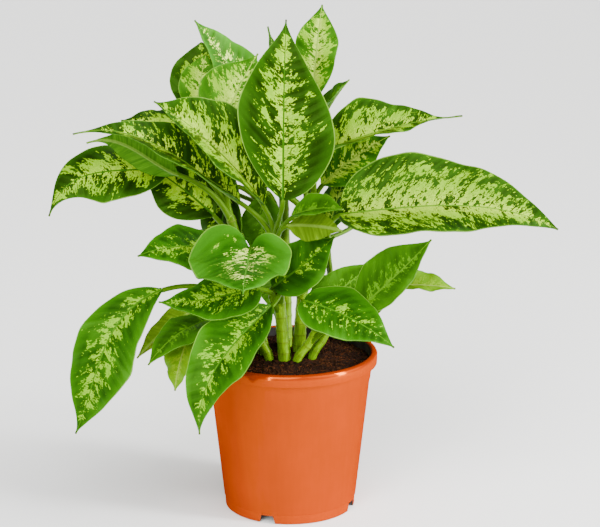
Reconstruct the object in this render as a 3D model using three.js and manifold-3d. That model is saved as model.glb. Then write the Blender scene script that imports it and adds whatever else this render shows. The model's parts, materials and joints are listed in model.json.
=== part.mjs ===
// A potted dieffenbachia: a clump of seven leafy shoots in moist peat, in a moulded growers' pot.
// Millimetres, +Z up. The origin is the centre of the pot's underside, where it stands.
// +X is the plant's right and -Y its front, as it is usually looked at.

import * as THREE from "three";
import { mergeVertices } from "three/addons/utils/BufferGeometryUtils.js";
import Module from "manifold-3d";

// Driving dimensions, all in millimetres.

const POT = {
  height: 156,
  rimRadius: 85,
  footRadius: 63.4,
  wall: 1.6,
  lipDrop: 11,
  bodyFootRadius: 64.6,
  bodyTopRadius: 79.5,
  footHeight: 10,
  shoulderDrop: 26,
  shoulderStep: 0.5,
  padRadius: 46,
  channelHeight: 7.5,
  sides: 44,
};
const NOTCH = { count: 4, firstAngle: -110, topWidth: 12, footWidth: 16, drainLength: 9, drainWidth: 9 };
const SOIL = { wallLevel: 146, crownLevel: 151, depthOfHoles: 28, holeMargin: 1.1, sides: 22 };
const GAP = 0.35; // between pieces that touch
const BLADE_THICKNESS = 1;
const PETIOLE = { sheathRadius: 3.6, neckRadius: 2.3, sides: 6, steps: 5 };
const CANE = { sides: 8, internode: 24, ring: 0.5 };

// Colours.

const COLOUR = {
  pot: 0xe5641f,
  soil: 0x2e1b12,
  cane: 0x7fa52c,
  dark: 0x2f6a1a,
  bright: 0x6d9c2c,
  pale: 0xa7bf4a,
};

// The canes: where each stands in the soil, how thick it is, and the points that it grows through.

const CANES = {
  cane_front: { foot: [-5, -16], radius: 6.5, through: [[-8, -16, 190], [-12, -16, 235], [-14, -14, 268]] },
  cane_right: { foot: [7.2, -20.4], radius: 4.6, through: [[19, -22, 170], [32, -25, 198], [41, -28, 216]] },
  cane_far_right: { foot: [22, -9], radius: 4.6, through: [[33, -6, 170], [46, 0, 196], [56, 4, 214]] },
  cane_centre: { foot: [9, 10], radius: 6.5, through: [[11, 8, 190], [15, 5, 240], [20, 2, 276]] },
  cane_left: { foot: [-20, -14], radius: 5, through: [[-28, -15, 170], [-44, -17, 198], [-56, -18, 214]] },
  cane_far_left: { foot: [-26, 8], radius: 6, through: [[-33, 10, 190], [-46, 10, 245], [-58, 10, 290]] },
  cane_back: { foot: [-4, 30], radius: 6.5, through: [[-4, 34, 190], [-5, 40, 250], [-6, 46, 300]] },
};

// The leaves. Angles are in degrees, and a share runs from 0 to 1.
// cane, height: the cane that carries the leaf, and the height at which its stalk leaves that cane.
// base, tip: the two ends of the blade's midrib.
// width: across the blade at its widest.
// roll: how far the face is turned about the midrib from looking as far up as it can.
// arch: how far the midrib stands above the line from base to tip, near each end, as a share of the length.
// fold: how far each half is raised from flat along the midrib, at the base.
// ripple: the height of the waves of the edge.
// widest: the share of the length at which the blade is widest.
// drip: how quickly the blade narrows into its drip tip.
// cup: how much further each half is raised at the very base.
// lobe: how far the base reaches back past the stalk at its edges.
// skew: how far one half is slid along the midrib against the other.
// uneven: how much wider one half is than the other, as a share.
// rise, meet: how long the stalk goes on along its cane, and how early it is in line with the midrib.
// tone: its main colour.

const LEAVES = {
  leaf_crown: {
    cane: "cane_front", height: 262, base: [-6, -38, 314], tip: [-3, -8, 479],
    width: 92, roll: 8, arch: [0.04, 0.07], fold: 15, ripple: 2.5, drip: 1.6, skew: 12, uneven: 0.05,
    tone: "dark",
  },
  leaf_top_right: {
    cane: "cane_centre", height: 270, base: [22, 22, 397], tip: [31, 45, 485],
    width: 42, roll: 10, fold: 12, ripple: 2, widest: 0.56, tone: "pale",
  },
  leaf_peak_right: {
    cane: "cane_centre", height: 262, base: [27, 30, 374], tip: [56, 12, 419],
    width: 34, roll: 30, fold: 30, ripple: 1, tone: "dark",
  },
  leaf_upper_right: {
    cane: "cane_centre", height: 255, base: [29, 0, 351], tip: [162, -12, 389],
    width: 74, roll: 36, arch: [0.05, 0.06], fold: 52, ripple: 3, widest: 0.34, drip: 3,
    tone: "bright",
  },
  leaf_right_back: {
    cane: "cane_centre", height: 245, base: [31, 22, 315], tip: [96, 26, 362],
    width: 48, roll: 50, ripple: 2, tone: "bright",
  },
  leaf_deep_right: {
    cane: "cane_centre", height: 225, base: [37, 18, 268], tip: [61, 36, 338],
    width: 44, ripple: 2, tone: "bright",
  },
  leaf_big_right: {
    cane: "cane_right", height: 206, base: [48, -20, 296], tip: [248, -70, 294],
    width: 107, roll: 42, arch: [0.06, 0.145], fold: 34, ripple: 3, widest: 0.26, lobe: 12,
    rise: 0.3, drip: 1.15, tone: "bright",
  },
  leaf_pale_centre: {
    cane: "cane_front", height: 240, base: [-1, -34, 288], tip: [49, -64, 291],
    width: 30, roll: -120, ripple: 1, tone: "pale",
  },
  leaf_small_centre: {
    cane: "cane_front", height: 250, base: [2, -44, 300], tip: [49, -85, 317],
    width: 35, roll: 35, arch: [0.08, 0.08], fold: 36, ripple: 1, tone: "dark",
  },
  leaf_front_low: {
    cane: "cane_front", height: 206, base: [-30, -66, 238], tip: [-121, -78, 227],
    width: 60, roll: -30, arch: [-0.05, -0.07], fold: 5, ripple: 2, widest: 0.3, drip: 1.4,
    uneven: 0, rise: 0.2, meet: 0.08, lobe: 18, tone: "dark",
  },
  leaf_front_mid: {
    cane: "cane_front", height: 188, base: [-16, -36, 229], tip: [42, -42, 280],
    width: 54, roll: 55, arch: [-0.03, -0.03], ripple: 1.5, lobe: 8, tone: "dark",
  },
  leaf_front_round: {
    cane: "cane_front", height: 244, base: [-37, -46, 270], tip: [-41, -150, 254],
    width: 96, arch: [-0.06, 0.12], fold: 3, ripple: 2.5, widest: 0.3, cup: 58, lobe: 48,
    uneven: 0.16, drip: 0.66, tone: "dark",
  },
  leaf_mid_left: {
    cane: "cane_left", height: 208, base: [-66, -18, 261], tip: [-141, -60, 266],
    width: 68, roll: -28, arch: [0.1, 0.1], fold: 14, ripple: 1.5, uneven: -0.2, widest: 0.36, lobe: 6,
    tone: "dark",
  },
  leaf_far_left: {
    cane: "cane_far_left", height: 284, base: [-112, 6, 339], tip: [-226, -32, 297],
    width: 60, roll: -50, arch: [0.02, 0.39], fold: -4, ripple: 1.5, widest: 0.5, drip: 1.7,
    tone: "dark",
  },
  leaf_shade_left: {
    cane: "cane_far_left", height: 225, base: [-73, 16, 286], tip: [-146, 34, 336],
    width: 60, roll: -60, fold: 8, ripple: 1.5, tone: "dark",
  },
  leaf_long_left: {
    cane: "cane_front", height: 256, base: [-47, -20, 309], tip: [-198, -62, 382],
    width: 64, roll: -36, arch: [0.06, 0.23], fold: 42, ripple: 2, widest: 0.38, drip: 2.2,
    tone: "bright",
  },
  leaf_under_left: {
    cane: "cane_far_left", height: 270, base: [-105, -16, 334], tip: [-188, -40, 369],
    width: 32, roll: 75, arch: [0, 0.25], fold: 12, ripple: 1.5, drip: 2, tone: "dark",
  },
  leaf_upper_left: {
    cane: "cane_front", height: 264, base: [-24, -28, 307], tip: [-125, -34, 407],
    width: 84, roll: -42, arch: [0.07, 0.07], fold: 50, ripple: 2.5, widest: 0.48, drip: 1.5,
    skew: -14, tone: "bright",
  },
  leaf_inner_left: {
    cane: "cane_back", height: 240, base: [-60, 38, 304], tip: [-70, 24, 236],
    width: 50, ripple: 1.5, tone: "dark",
  },
  leaf_inner_centre: {
    cane: "cane_back", height: 246, base: [-24, 34, 302], tip: [-28, 22, 236],
    width: 44, ripple: 1.5, tone: "dark",
  },
  leaf_notched_left: {
    cane: "cane_far_left", height: 286, base: [-71, 6, 362], tip: [-159, 2, 382],
    width: 58, roll: -30, ripple: 3, tone: "bright",
  },
  leaf_back_left: {
    cane: "cane_far_left", height: 288, base: [-87, 52, 374], tip: [-85, 64, 446],
    width: 60, ripple: 2.5, widest: 0.5, drip: 1, tone: "bright",
  },
  leaf_cream_left: {
    cane: "cane_far_left", height: 290, base: [-89, 30, 381], tip: [-80, 44, 437],
    width: 41, roll: 25, ripple: 2, widest: 0.5, drip: 1, tone: "bright",
  },
  leaf_peak_left: {
    cane: "cane_back", height: 290, base: [-27, 46, 381], tip: [-90, 40, 471],
    width: 58, roll: -45, arch: [0.02, 0.02], fold: 22, ripple: 2, widest: 0.34, tone: "bright",
  },
  leaf_light_left: {
    cane: "cane_centre", height: 272, base: [-67, -2, 366], tip: [-30, 28, 441],
    width: 72, roll: 40, ripple: 2, widest: 0.5, drip: 1.8, tone: "pale",
  },
  leaf_hidden_top: {
    cane: "cane_back", height: 296, base: [-6, 62, 365], tip: [-21, 78, 459],
    width: 44, ripple: 2, widest: 0.36, drip: 2.4, tone: "bright",
  },
  leaf_low_left: {
    cane: "cane_left", height: 200, base: [-120, -40, 228], tip: [-201, -85, 100],
    width: 66, roll: -35, arch: [0.3, 0.03], fold: 8, ripple: 2.5, widest: 0.54, drip: 1.6,
    uneven: -0.04, tone: "dark",
  },
  leaf_pale_left: {
    cane: "cane_left", height: 180, base: [-86, -15, 205], tip: [-145, -46, 162],
    width: 34, roll: 70, arch: [0.08, 0.08], ripple: 1, tone: "pale",
  },
  leaf_olive_left: {
    cane: "cane_left", height: 185, base: [-69, -38, 199], tip: [-131, -92, 170],
    width: 44, roll: -10, arch: [0.15, 0.15], ripple: 1.5, tone: "dark",
  },
  leaf_old_left: {
    cane: "cane_left", height: 172, base: [-95, -45, 185], tip: [-108, -72, 138],
    width: 42, roll: 20, arch: [0.1, 0.1], ripple: 2, tone: "pale",
  },
  leaf_front_droop: {
    cane: "cane_front", height: 184, base: [-17, -58, 217], tip: [-83, -118, 111],
    width: 66, roll: -25, arch: [0.12, 0.3], fold: 28, ripple: 3, rise: 0.9, meet: 0.5, tone: "dark",
  },
  leaf_front_right: {
    cane: "cane_right", height: 190, base: [13, -60, 223], tip: [96, -114, 194],
    width: 64, roll: 25, arch: [0.08, 0.08], fold: 6, ripple: 1.5, widest: 0.34, cup: 15, lobe: 12,
    tone: "dark",
  },
  leaf_lance_right: {
    cane: "cane_right", height: 166, base: [61, -61, 212], tip: [130, -84, 288],
    width: 50, roll: 65, arch: [-0.02, -0.02], fold: 8, ripple: 2, uneven: -0.25, tone: "dark",
  },
  leaf_pale_right: {
    cane: "cane_far_right", height: 205, base: [96, -18, 225], tip: [158, -20, 223],
    width: 30, roll: 40, fold: 50, ripple: 2, tone: "pale",
  },
  leaf_young_right: {
    cane: "cane_far_right", height: 195, base: [84, -20, 216], tip: [80, -30, 196],
    width: 16, fold: 8, ripple: 1, tone: "pale",
  },
  leaf_mid_right: {
    cane: "cane_right", height: 180, base: [17, -51, 199], tip: [83, -39, 254],
    width: 42, roll: 70, fold: 8, ripple: 1.5, tone: "dark",
  },
  leaf_rear_right: {
    cane: "cane_centre", height: 240, base: [62, 50, 268], tip: [125, 120, 275],
    width: 70, arch: [0.12, 0.2], fold: 12, ripple: 2, tone: "bright",
  },
  leaf_rear: {
    cane: "cane_back", height: 270, base: [-10, 90, 310], tip: [-20, 200, 290],
    width: 84, arch: [0.15, 0.25], fold: 12, ripple: 2.5, tone: "bright",
  },
  leaf_rear_left: {
    cane: "cane_back", height: 262, base: [-60, 70, 300], tip: [-140, 130, 310],
    width: 70, arch: [0.12, 0.2], fold: 12, ripple: 2, tone: "dark",
  },
  leaf_rear_low_right: {
    cane: "cane_back", height: 215, base: [35, 80, 205], tip: [66, 150, 150],
    width: 56, arch: [0.14, 0.3], ripple: 2, tone: "dark",
  },
  leaf_rear_low: {
    cane: "cane_back", height: 205, base: [-8, 80, 232], tip: [-15, 160, 136],
    width: 76, arch: [0.14, 0.3], ripple: 2, tone: "dark",
  },
  leaf_rear_low_left: {
    cane: "cane_far_left", height: 215, base: [-49, 60, 245], tip: [-88, 120, 236],
    width: 52, arch: [0.14, 0.3], ripple: 2, tone: "dark",
  },
};

// Solids.

const wasm = await Module();
wasm.setup();

const degrees = THREE.MathUtils.degToRad;
const point = (p) => new THREE.Vector3(...p);

// A closed geometry as a manifold-3d solid, for the cuts and joins.
function solidOf(geometry) {
  const bare = new THREE.BufferGeometry();
  bare.setAttribute("position", geometry.getAttribute("position"));
  bare.setIndex(geometry.index);
  const merged = mergeVertices(bare, 1e-4);
  return new wasm.Manifold(
    new wasm.Mesh({
      numProp: 3,
      vertProperties: merged.attributes.position.array,
      triVerts: new Uint32Array(merged.index.array),
    }),
  );
}

// A manifold-3d solid back as a geometry.
function geometryOf(solid) {
  const mesh = solid.getMesh();
  const geometry = new THREE.BufferGeometry();
  geometry.setAttribute("position", new THREE.BufferAttribute(mesh.vertProperties, 3));
  geometry.setIndex(new THREE.BufferAttribute(mesh.triVerts, 1));
  geometry.computeVertexNormals();
  return geometry;
}

// A turned shape from its outline of [radius, height] points.
function turned(outline, sides) {
  const profile = outline.map(([radius, height]) => new THREE.Vector2(radius, height));
  const geometry = new THREE.LatheGeometry(profile, sides);
  geometry.rotateX(Math.PI / 2);
  return geometry;
}

// A round stem along a curve, with a radius that changes on the way. It is closed at both ends.
function stem(curve, radiusAt, sides, steps) {
  const frames = curve.computeFrenetFrames(steps, false);
  const vertices = [];
  const triangles = [];
  for (let i = 0; i <= steps; i++) {
    const centre = curve.getPointAt(i / steps);
    for (let k = 0; k < sides; k++) {
      const angle = (2 * Math.PI * k) / sides;
      const spoke = frames.normals[i].clone().multiplyScalar(Math.cos(angle));
      spoke.addScaledVector(frames.binormals[i], Math.sin(angle));
      vertices.push(...centre.clone().addScaledVector(spoke, radiusAt(i / steps)).toArray());
    }
  }
  for (let i = 0; i < steps; i++) {
    for (let k = 0; k < sides; k++) {
      const a = i * sides + k;
      const b = i * sides + ((k + 1) % sides);
      triangles.push(a, b, b + sides, a, b + sides, a + sides);
    }
  }
  for (let k = 1; k < sides - 1; k++) {
    triangles.push(0, k + 1, k);
    const end = steps * sides;
    triangles.push(end, end + k, end + k + 1);
  }
  const geometry = new THREE.BufferGeometry();
  geometry.setAttribute("position", new THREE.Float32BufferAttribute(vertices, 3));
  geometry.setIndex(triangles);
  return geometry;
}

// The leaf blade.

// Half the blade's width at a place from 0 at its base to 1 at its tip, as a share of the greatest.
function outline(leaf, u) {
  const widest = leaf.widest ?? 0.42;
  if (u < widest) return Math.pow(1 - (1 - u / widest) ** 2, 0.75);
  return Math.pow(1 - ((u - widest) / (1 - widest)) ** 1.8, leaf.drip ?? 1.4);
}

// The blade's midrib curve, and the direction across the blade. The midrib arches in an upright plane.
function midribOf(leaf) {
  const base = point(leaf.base);
  const tip = point(leaf.tip);
  const chord = tip.clone().sub(base);
  const length = chord.length();
  chord.normalize();
  const up = new THREE.Vector3(0, 0, 1).addScaledVector(chord, -chord.z).normalize();
  const [archNear, archFar] = leaf.arch ?? [0.05, 0.05];
  const near = base.clone().addScaledVector(chord, 0.33 * length).addScaledVector(up, archNear * length);
  const far = base.clone().addScaledVector(chord, 0.7 * length).addScaledVector(up, archFar * length);
  const face = up.applyAxisAngle(chord, degrees(leaf.roll ?? 0));
  const side = new THREE.Vector3().crossVectors(chord, face);
  return { curve: new THREE.CubicBezierCurve3(base, near, far, tip), side, length };
}

// The place of a point of the blade's upper face: u from base to tip, v from -1 to 1 across.
function bladePoint(leaf, midrib, u, v) {
  const along = midrib.curve.getTangent(u);
  const side = midrib.side.clone().addScaledVector(along, -midrib.side.dot(along)).normalize();
  const face = new THREE.Vector3().crossVectors(side, along).normalize();
  const share = outline(leaf, u) * (1 + Math.sign(v) * (leaf.uneven ?? 0));
  const half = Math.max(0.5 * leaf.width * share, u < 0.5 ? 2.2 : 0.8);
  const raise = degrees((leaf.fold ?? 10) * (1 - 0.4 * u) + (leaf.cup ?? 8) * (1 - u) ** 6);
  const curl = 0.1 * half * v * v;
  const phase = v > 0 ? 0.4 : 2.1;
  const wave = leaf.ripple * Math.sin(Math.PI * u) * Math.sin(5.5 * Math.PI * u + phase) * Math.abs(v) ** 1.6;
  const place = midrib.curve.getPoint(u);
  place.addScaledVector(side, v * half * Math.cos(raise));
  place.addScaledVector(face, Math.abs(v) * half * Math.sin(raise) - curl + wave);
  const setBack = (leaf.skew ?? 0) * v + (leaf.lobe ?? 0) * Math.abs(v) ** 1.5 * (1 - u) ** 4;
  place.addScaledVector(along, -setBack * share);
  return { place, face };
}

// The blade as a thin solid. Both faces are split into the same triangles. The midrib is its thick middle.
function blade(leaf) {
  const midrib = midribOf(leaf);
  const rows = midrib.length > 85 ? 9 : 6;
  const columns = leaf.width > 45 ? 6 : 4;
  const across = columns + 1;
  const upper = [];
  const lower = [];
  for (let i = 0; i <= rows; i++) {
    const u = Math.pow(i / rows, 1.15);
    for (let j = 0; j <= columns; j++) {
      const v = (2 * j) / columns - 1;
      const { place, face } = bladePoint(leaf, midrib, u, v);
      const rib = j === columns / 2 ? 2.2 * (1 - u) : 0;
      upper.push(...place.toArray());
      lower.push(...place.clone().addScaledVector(face, -BLADE_THICKNESS - rib).toArray());
    }
  }
  const under = (rows + 1) * across;
  const triangles = [];
  for (let i = 0; i < rows; i++) {
    for (let j = 0; j < columns; j++) {
      const a = i * across + j;
      const b = a + 1;
      const c = a + across;
      const d = c + 1;
      const split = j < columns / 2 ? [a, d, c, a, b, d] : [a, b, c, b, d, c];
      triangles.push(...split);
      for (let k = 0; k < 6; k += 3) {
        triangles.push(under + split[k], under + split[k + 2], under + split[k + 1]);
      }
    }
  }
  const rim = [];
  for (let j = 0; j < columns; j++) rim.push(j);
  for (let i = 0; i < rows; i++) rim.push(i * across + columns);
  for (let j = columns; j > 0; j--) rim.push(rows * across + j);
  for (let i = rows; i > 0; i--) rim.push(i * across);
  rim.forEach((a, i) => {
    const b = rim[(i + 1) % rim.length];
    triangles.push(a, under + a, b, b, under + a, under + b);
  });
  const geometry = new THREE.BufferGeometry();
  geometry.setAttribute("position", new THREE.Float32BufferAttribute([...upper, ...lower], 3));
  geometry.setIndex(triangles);
  return geometry;
}

// Canes with their leaf stalks.

function caneCurve(cane) {
  const [x, y] = cane.foot;
  const buried = SOIL.crownLevel - SOIL.depthOfHoles + GAP;
  return new THREE.CatmullRomCurve3(
    [[x, y, buried], [x, y, SOIL.crownLevel + 1], ...cane.through].map(point),
    false,
    "centripetal",
  );
}

// How far along the cane a height is, from 0 to 1.
function shareAtHeight(curve, height) {
  let low = 0;
  let high = 1;
  for (let i = 0; i < 20; i++) {
    const middle = (low + high) / 2;
    if (curve.getPointAt(middle).z < height) low = middle;
    else high = middle;
  }
  return low;
}

// A leaf's stalk: it leaves the cane along it, and meets the blade's base in line with the midrib.
function petiole(leaf, cane) {
  const curve = caneCurve(cane);
  const share = shareAtHeight(curve, leaf.height);
  const start = curve.getPointAt(share);
  const midrib = midribOf(leaf);
  const along = midrib.curve.getTangent(0);
  const end = point(leaf.base).addScaledVector(along, -GAP);
  const faceDown = new THREE.Vector3().crossVectors(midrib.side, along).multiplyScalar(-1.3);
  end.add(faceDown);
  const reach = start.distanceTo(end);
  const rise = start.clone().addScaledVector(curve.getTangentAt(share), (leaf.rise ?? 0.4) * reach);
  const meet = end.clone().addScaledVector(along, -(leaf.meet ?? 0.35) * reach);
  const path = new THREE.CubicBezierCurve3(start, rise, meet, end);
  const sheath = Math.min(PETIOLE.sheathRadius, cane.radius * 0.8);
  const radiusAt = (t) => THREE.MathUtils.lerp(sheath, PETIOLE.neckRadius, Math.min(1, 1.4 * t));
  return stem(path, radiusAt, PETIOLE.sides, PETIOLE.steps);
}

// The cane itself, swollen at each ring where an old leaf was, and every stalk that it carries.
function shoot(name) {
  const cane = CANES[name];
  const curve = caneCurve(cane);
  const length = curve.getLength();
  const steps = Math.round(length / CANE.internode) * 2;
  const radiusAt = (t) => {
    const taper = 1 - 0.25 * t;
    const ring = Math.round(t * steps) % 2 ? CANE.ring : 0;
    return cane.radius * taper + ring;
  };
  let solid = solidOf(stem(curve, radiusAt, CANE.sides, steps));
  for (const leaf of Object.values(LEAVES)) {
    if (leaf.cane === name) solid = solid.add(solidOf(petiole(leaf, cane)));
  }
  return geometryOf(solid);
}

// Pot.

// The radius of the pot's outside at a height, above its foot.
function potRadius(height) {
  const span = POT.height - POT.lipDrop - POT.footHeight;
  const share = (height - POT.footHeight) / span;
  return THREE.MathUtils.lerp(POT.bodyFootRadius, POT.bodyTopRadius, share);
}

function pot() {
  const { height, rimRadius, wall, footRadius, footHeight, padRadius, channelHeight } = POT;
  const shoulder = height - POT.shoulderDrop;
  const lip = height - POT.lipDrop;
  const step = POT.shoulderStep;
  const floor = channelHeight + wall;
  const outside = [
    [0, 0],
    [padRadius, 0],
    [padRadius + 3, channelHeight],
    [footRadius - wall - 1, channelHeight],
    [footRadius - wall - 0.4, 0],
    [footRadius, 0],
    [footRadius + 0.4, footHeight - 1],
    [POT.bodyFootRadius, footHeight],
    [potRadius(shoulder - 1), shoulder - 1],
    [potRadius(shoulder) + step, shoulder],
    [potRadius(lip) + step, lip],
    [potRadius(lip) + step + 0.3, height - 4],
    [rimRadius - wall - 0.6, height - 3.6],
    [rimRadius - wall - 0.5, lip],
    [rimRadius - 0.3, lip],
    [rimRadius, height - 3],
    [rimRadius - 0.9, height - 0.9],
    [rimRadius - 3, height],
  ];
  const inside = [
    [potRadius(height) - 0.6, height],
    [potRadius(height) - 1.6, height - 1.2],
    [potRadius(lip) - wall + 0.4, lip],
    [potRadius(floor) - wall, floor],
    [padRadius + 1.6, floor],
    [padRadius - 1, wall],
    [0, wall],
  ];
  let solid = solidOf(turned([...outside, ...inside], POT.sides));
  const notch = new THREE.Shape();
  notch.moveTo(-NOTCH.footWidth / 2, -1);
  notch.lineTo(NOTCH.footWidth / 2, -1);
  notch.lineTo(NOTCH.topWidth / 2, channelHeight);
  notch.lineTo(-NOTCH.topWidth / 2, channelHeight);
  for (let i = 0; i < NOTCH.count; i++) {
    const angle = degrees(NOTCH.firstAngle + (360 / NOTCH.count) * i);
    const cut = new THREE.ExtrudeGeometry(notch, { depth: 9, bevelEnabled: false });
    cut.rotateX(Math.PI / 2).rotateZ(Math.PI / 2).translate(footRadius - 6, 0, 0).rotateZ(angle);
    const drain = new THREE.BoxGeometry(NOTCH.drainLength, NOTCH.drainWidth, 4);
    drain.translate(footRadius - wall - 3 - NOTCH.drainLength / 2, 0, channelHeight + 0.8).rotateZ(angle);
    solid = solid.subtract(solidOf(cut)).subtract(solidOf(drain));
  }
  return geometryOf(solid);
}

// Soil.

function soil() {
  const { wall, padRadius, channelHeight } = POT;
  const floor = channelHeight + wall;
  const body = turned(
    [
      [0, wall + GAP],
      [padRadius - 1 - GAP, wall + GAP],
      [padRadius + 1.6 - GAP, floor + GAP],
      [potRadius(floor) - wall - GAP, floor + GAP],
      [potRadius(SOIL.wallLevel) - wall - GAP, SOIL.wallLevel],
      [60, SOIL.wallLevel + 1.5],
      [34, SOIL.crownLevel - 1],
      [0, SOIL.crownLevel],
    ],
    SOIL.sides,
  );
  let solid = solidOf(body);
  for (const cane of Object.values(CANES)) {
    const radius = cane.radius + SOIL.holeMargin;
    const hole = new THREE.CylinderGeometry(radius, radius, 2 * SOIL.depthOfHoles, 16);
    hole.rotateX(Math.PI / 2).translate(cane.foot[0], cane.foot[1], SOIL.crownLevel);
    solid = solid.subtract(solidOf(hole));
  }
  return geometryOf(solid);
}

// The whole plant.

const plant = new THREE.Group();

function addPiece(name, geometry, colour, roughness) {
  const material = new THREE.MeshStandardMaterial({ color: colour, roughness, metalness: 0 });
  const mesh = new THREE.Mesh(geometry, material);
  mesh.name = name;
  plant.add(mesh);
}

addPiece("pot", pot(), COLOUR.pot, 0.35);
addPiece("soil", soil(), COLOUR.soil, 0.95);
for (const name of Object.keys(CANES)) addPiece(name, shoot(name), COLOUR.cane, 0.5);
for (const [name, leaf] of Object.entries(LEAVES)) addPiece(name, blade(leaf), COLOUR[leaf.tone], 0.35);

export default plant;
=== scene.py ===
# %% [markdown]
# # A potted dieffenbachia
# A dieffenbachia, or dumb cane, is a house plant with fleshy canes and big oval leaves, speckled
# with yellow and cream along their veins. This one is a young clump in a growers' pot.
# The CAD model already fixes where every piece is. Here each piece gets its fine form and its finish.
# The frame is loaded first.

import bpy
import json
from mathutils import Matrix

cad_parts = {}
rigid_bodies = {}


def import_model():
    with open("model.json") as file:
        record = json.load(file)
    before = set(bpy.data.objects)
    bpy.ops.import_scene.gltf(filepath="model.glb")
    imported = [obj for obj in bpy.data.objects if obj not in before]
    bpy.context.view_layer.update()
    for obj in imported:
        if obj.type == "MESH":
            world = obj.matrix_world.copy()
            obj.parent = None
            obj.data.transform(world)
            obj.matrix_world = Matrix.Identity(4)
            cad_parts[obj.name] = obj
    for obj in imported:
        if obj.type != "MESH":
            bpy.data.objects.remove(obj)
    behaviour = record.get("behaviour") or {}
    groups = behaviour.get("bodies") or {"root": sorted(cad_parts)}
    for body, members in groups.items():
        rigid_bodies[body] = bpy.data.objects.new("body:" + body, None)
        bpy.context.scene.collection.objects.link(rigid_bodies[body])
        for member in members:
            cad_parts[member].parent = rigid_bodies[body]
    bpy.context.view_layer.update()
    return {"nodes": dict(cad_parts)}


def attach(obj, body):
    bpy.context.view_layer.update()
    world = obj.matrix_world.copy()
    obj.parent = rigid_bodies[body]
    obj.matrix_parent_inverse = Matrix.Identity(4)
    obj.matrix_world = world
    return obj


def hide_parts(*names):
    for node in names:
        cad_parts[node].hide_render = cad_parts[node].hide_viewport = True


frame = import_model()
print("CAD nodes:", len(frame["nodes"]))

# %% Modules and units
import json
import math
import random

import bpy
import numpy as np
from mathutils import Vector, noise
from mathutils.kdtree import KDTree

MM = 0.001
up_axis = np.array([0.0, 0.0, 1.0])

# %% [markdown]
# ## Helpers for materials
# Colours are written as the hex values that a paint program shows. Shaders need linear light, so one
# function turns them. Another adds a node with its settings and links in a single line, which keeps a
# long material readable. Two more start a material and make a colour ramp.

# %% Colour and node helpers
def linear(hex_colour):
    channels = [int(hex_colour[i:i + 2], 16) / 255 for i in (1, 3, 5)]
    return [c / 12.92 if c <= 0.04045 else ((c + 0.055) / 1.055) ** 2.4 for c in channels] + [1.0]


def add(tree, kind, inputs=(), **settings):
    """Adds a node and returns its first output. inputs is a list for its first sockets, or a dict."""
    made = tree.nodes.new("ShaderNode" + kind)
    for key, value in settings.items():
        setattr(made, key, value)
    pairs = inputs.items() if isinstance(inputs, dict) else enumerate(inputs)
    for socket, value in pairs:
        if isinstance(value, bpy.types.NodeSocket):
            tree.links.new(value, made.inputs[socket])
        elif value is not None:
            made.inputs[socket].default_value = value
    return made.outputs[0] if made.outputs else made


# A Mix node has sockets for each kind of value. These are its factor, its two colours and its result.
MIX_BY, MIX_A, MIX_B, MIXED = 0, 6, 7, 2


def new_material(name):
    material = bpy.data.materials.new(name)
    material.use_nodes = True
    material.node_tree.nodes.clear()
    return material, material.node_tree


def ramp(tree, factor, stops):
    """A colour ramp from (place, hex colour) stops."""
    colour = add(tree, "ValToRGB", [factor])
    elements = colour.node.color_ramp.elements
    while len(elements) < len(stops):
        elements.new(0.5)
    for element, (place, hex_colour) in zip(elements, stops):
        element.position = place
        element.color = linear(hex_colour)
    return colour

# %% [markdown]
# ## The plan of the plant
# Canes and leaves stand where the CAD model has them, so the same driving sizes are written here, in
# millimetres. A cane is a foot and the points that it grows through. A leaf is a base, a tip, a width
# and a few numbers for how it rolls, arches, folds and ripples. The skin names its finish, and
# pattern says how much more or less of it is speckled than is usual for that skin.

# %% Canes and leaves
CANES = {
    "cane_front": {
        "foot": (-5, -16), "radius": 6.5,
        "through": [(-8, -16, 190), (-12, -16, 235), (-14, -14, 268)],
    },
    "cane_right": {
        "foot": (7.2, -20.4), "radius": 4.6,
        "through": [(19, -22, 170), (32, -25, 198), (41, -28, 216)],
    },
    "cane_far_right": {
        "foot": (22, -9), "radius": 4.6,
        "through": [(33, -6, 170), (46, 0, 196), (56, 4, 214)],
    },
    "cane_centre": {
        "foot": (9, 10), "radius": 6.5,
        "through": [(11, 8, 190), (15, 5, 240), (20, 2, 276)],
    },
    "cane_left": {
        "foot": (-20, -14), "radius": 5,
        "through": [(-28, -15, 170), (-44, -17, 198), (-56, -18, 214)],
    },
    "cane_far_left": {
        "foot": (-26, 8), "radius": 6,
        "through": [(-33, 10, 190), (-46, 10, 245), (-58, 10, 290)],
    },
    "cane_back": {
        "foot": (-4, 30), "radius": 6.5,
        "through": [(-4, 34, 190), (-5, 40, 250), (-6, 46, 300)],
    },
}
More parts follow.
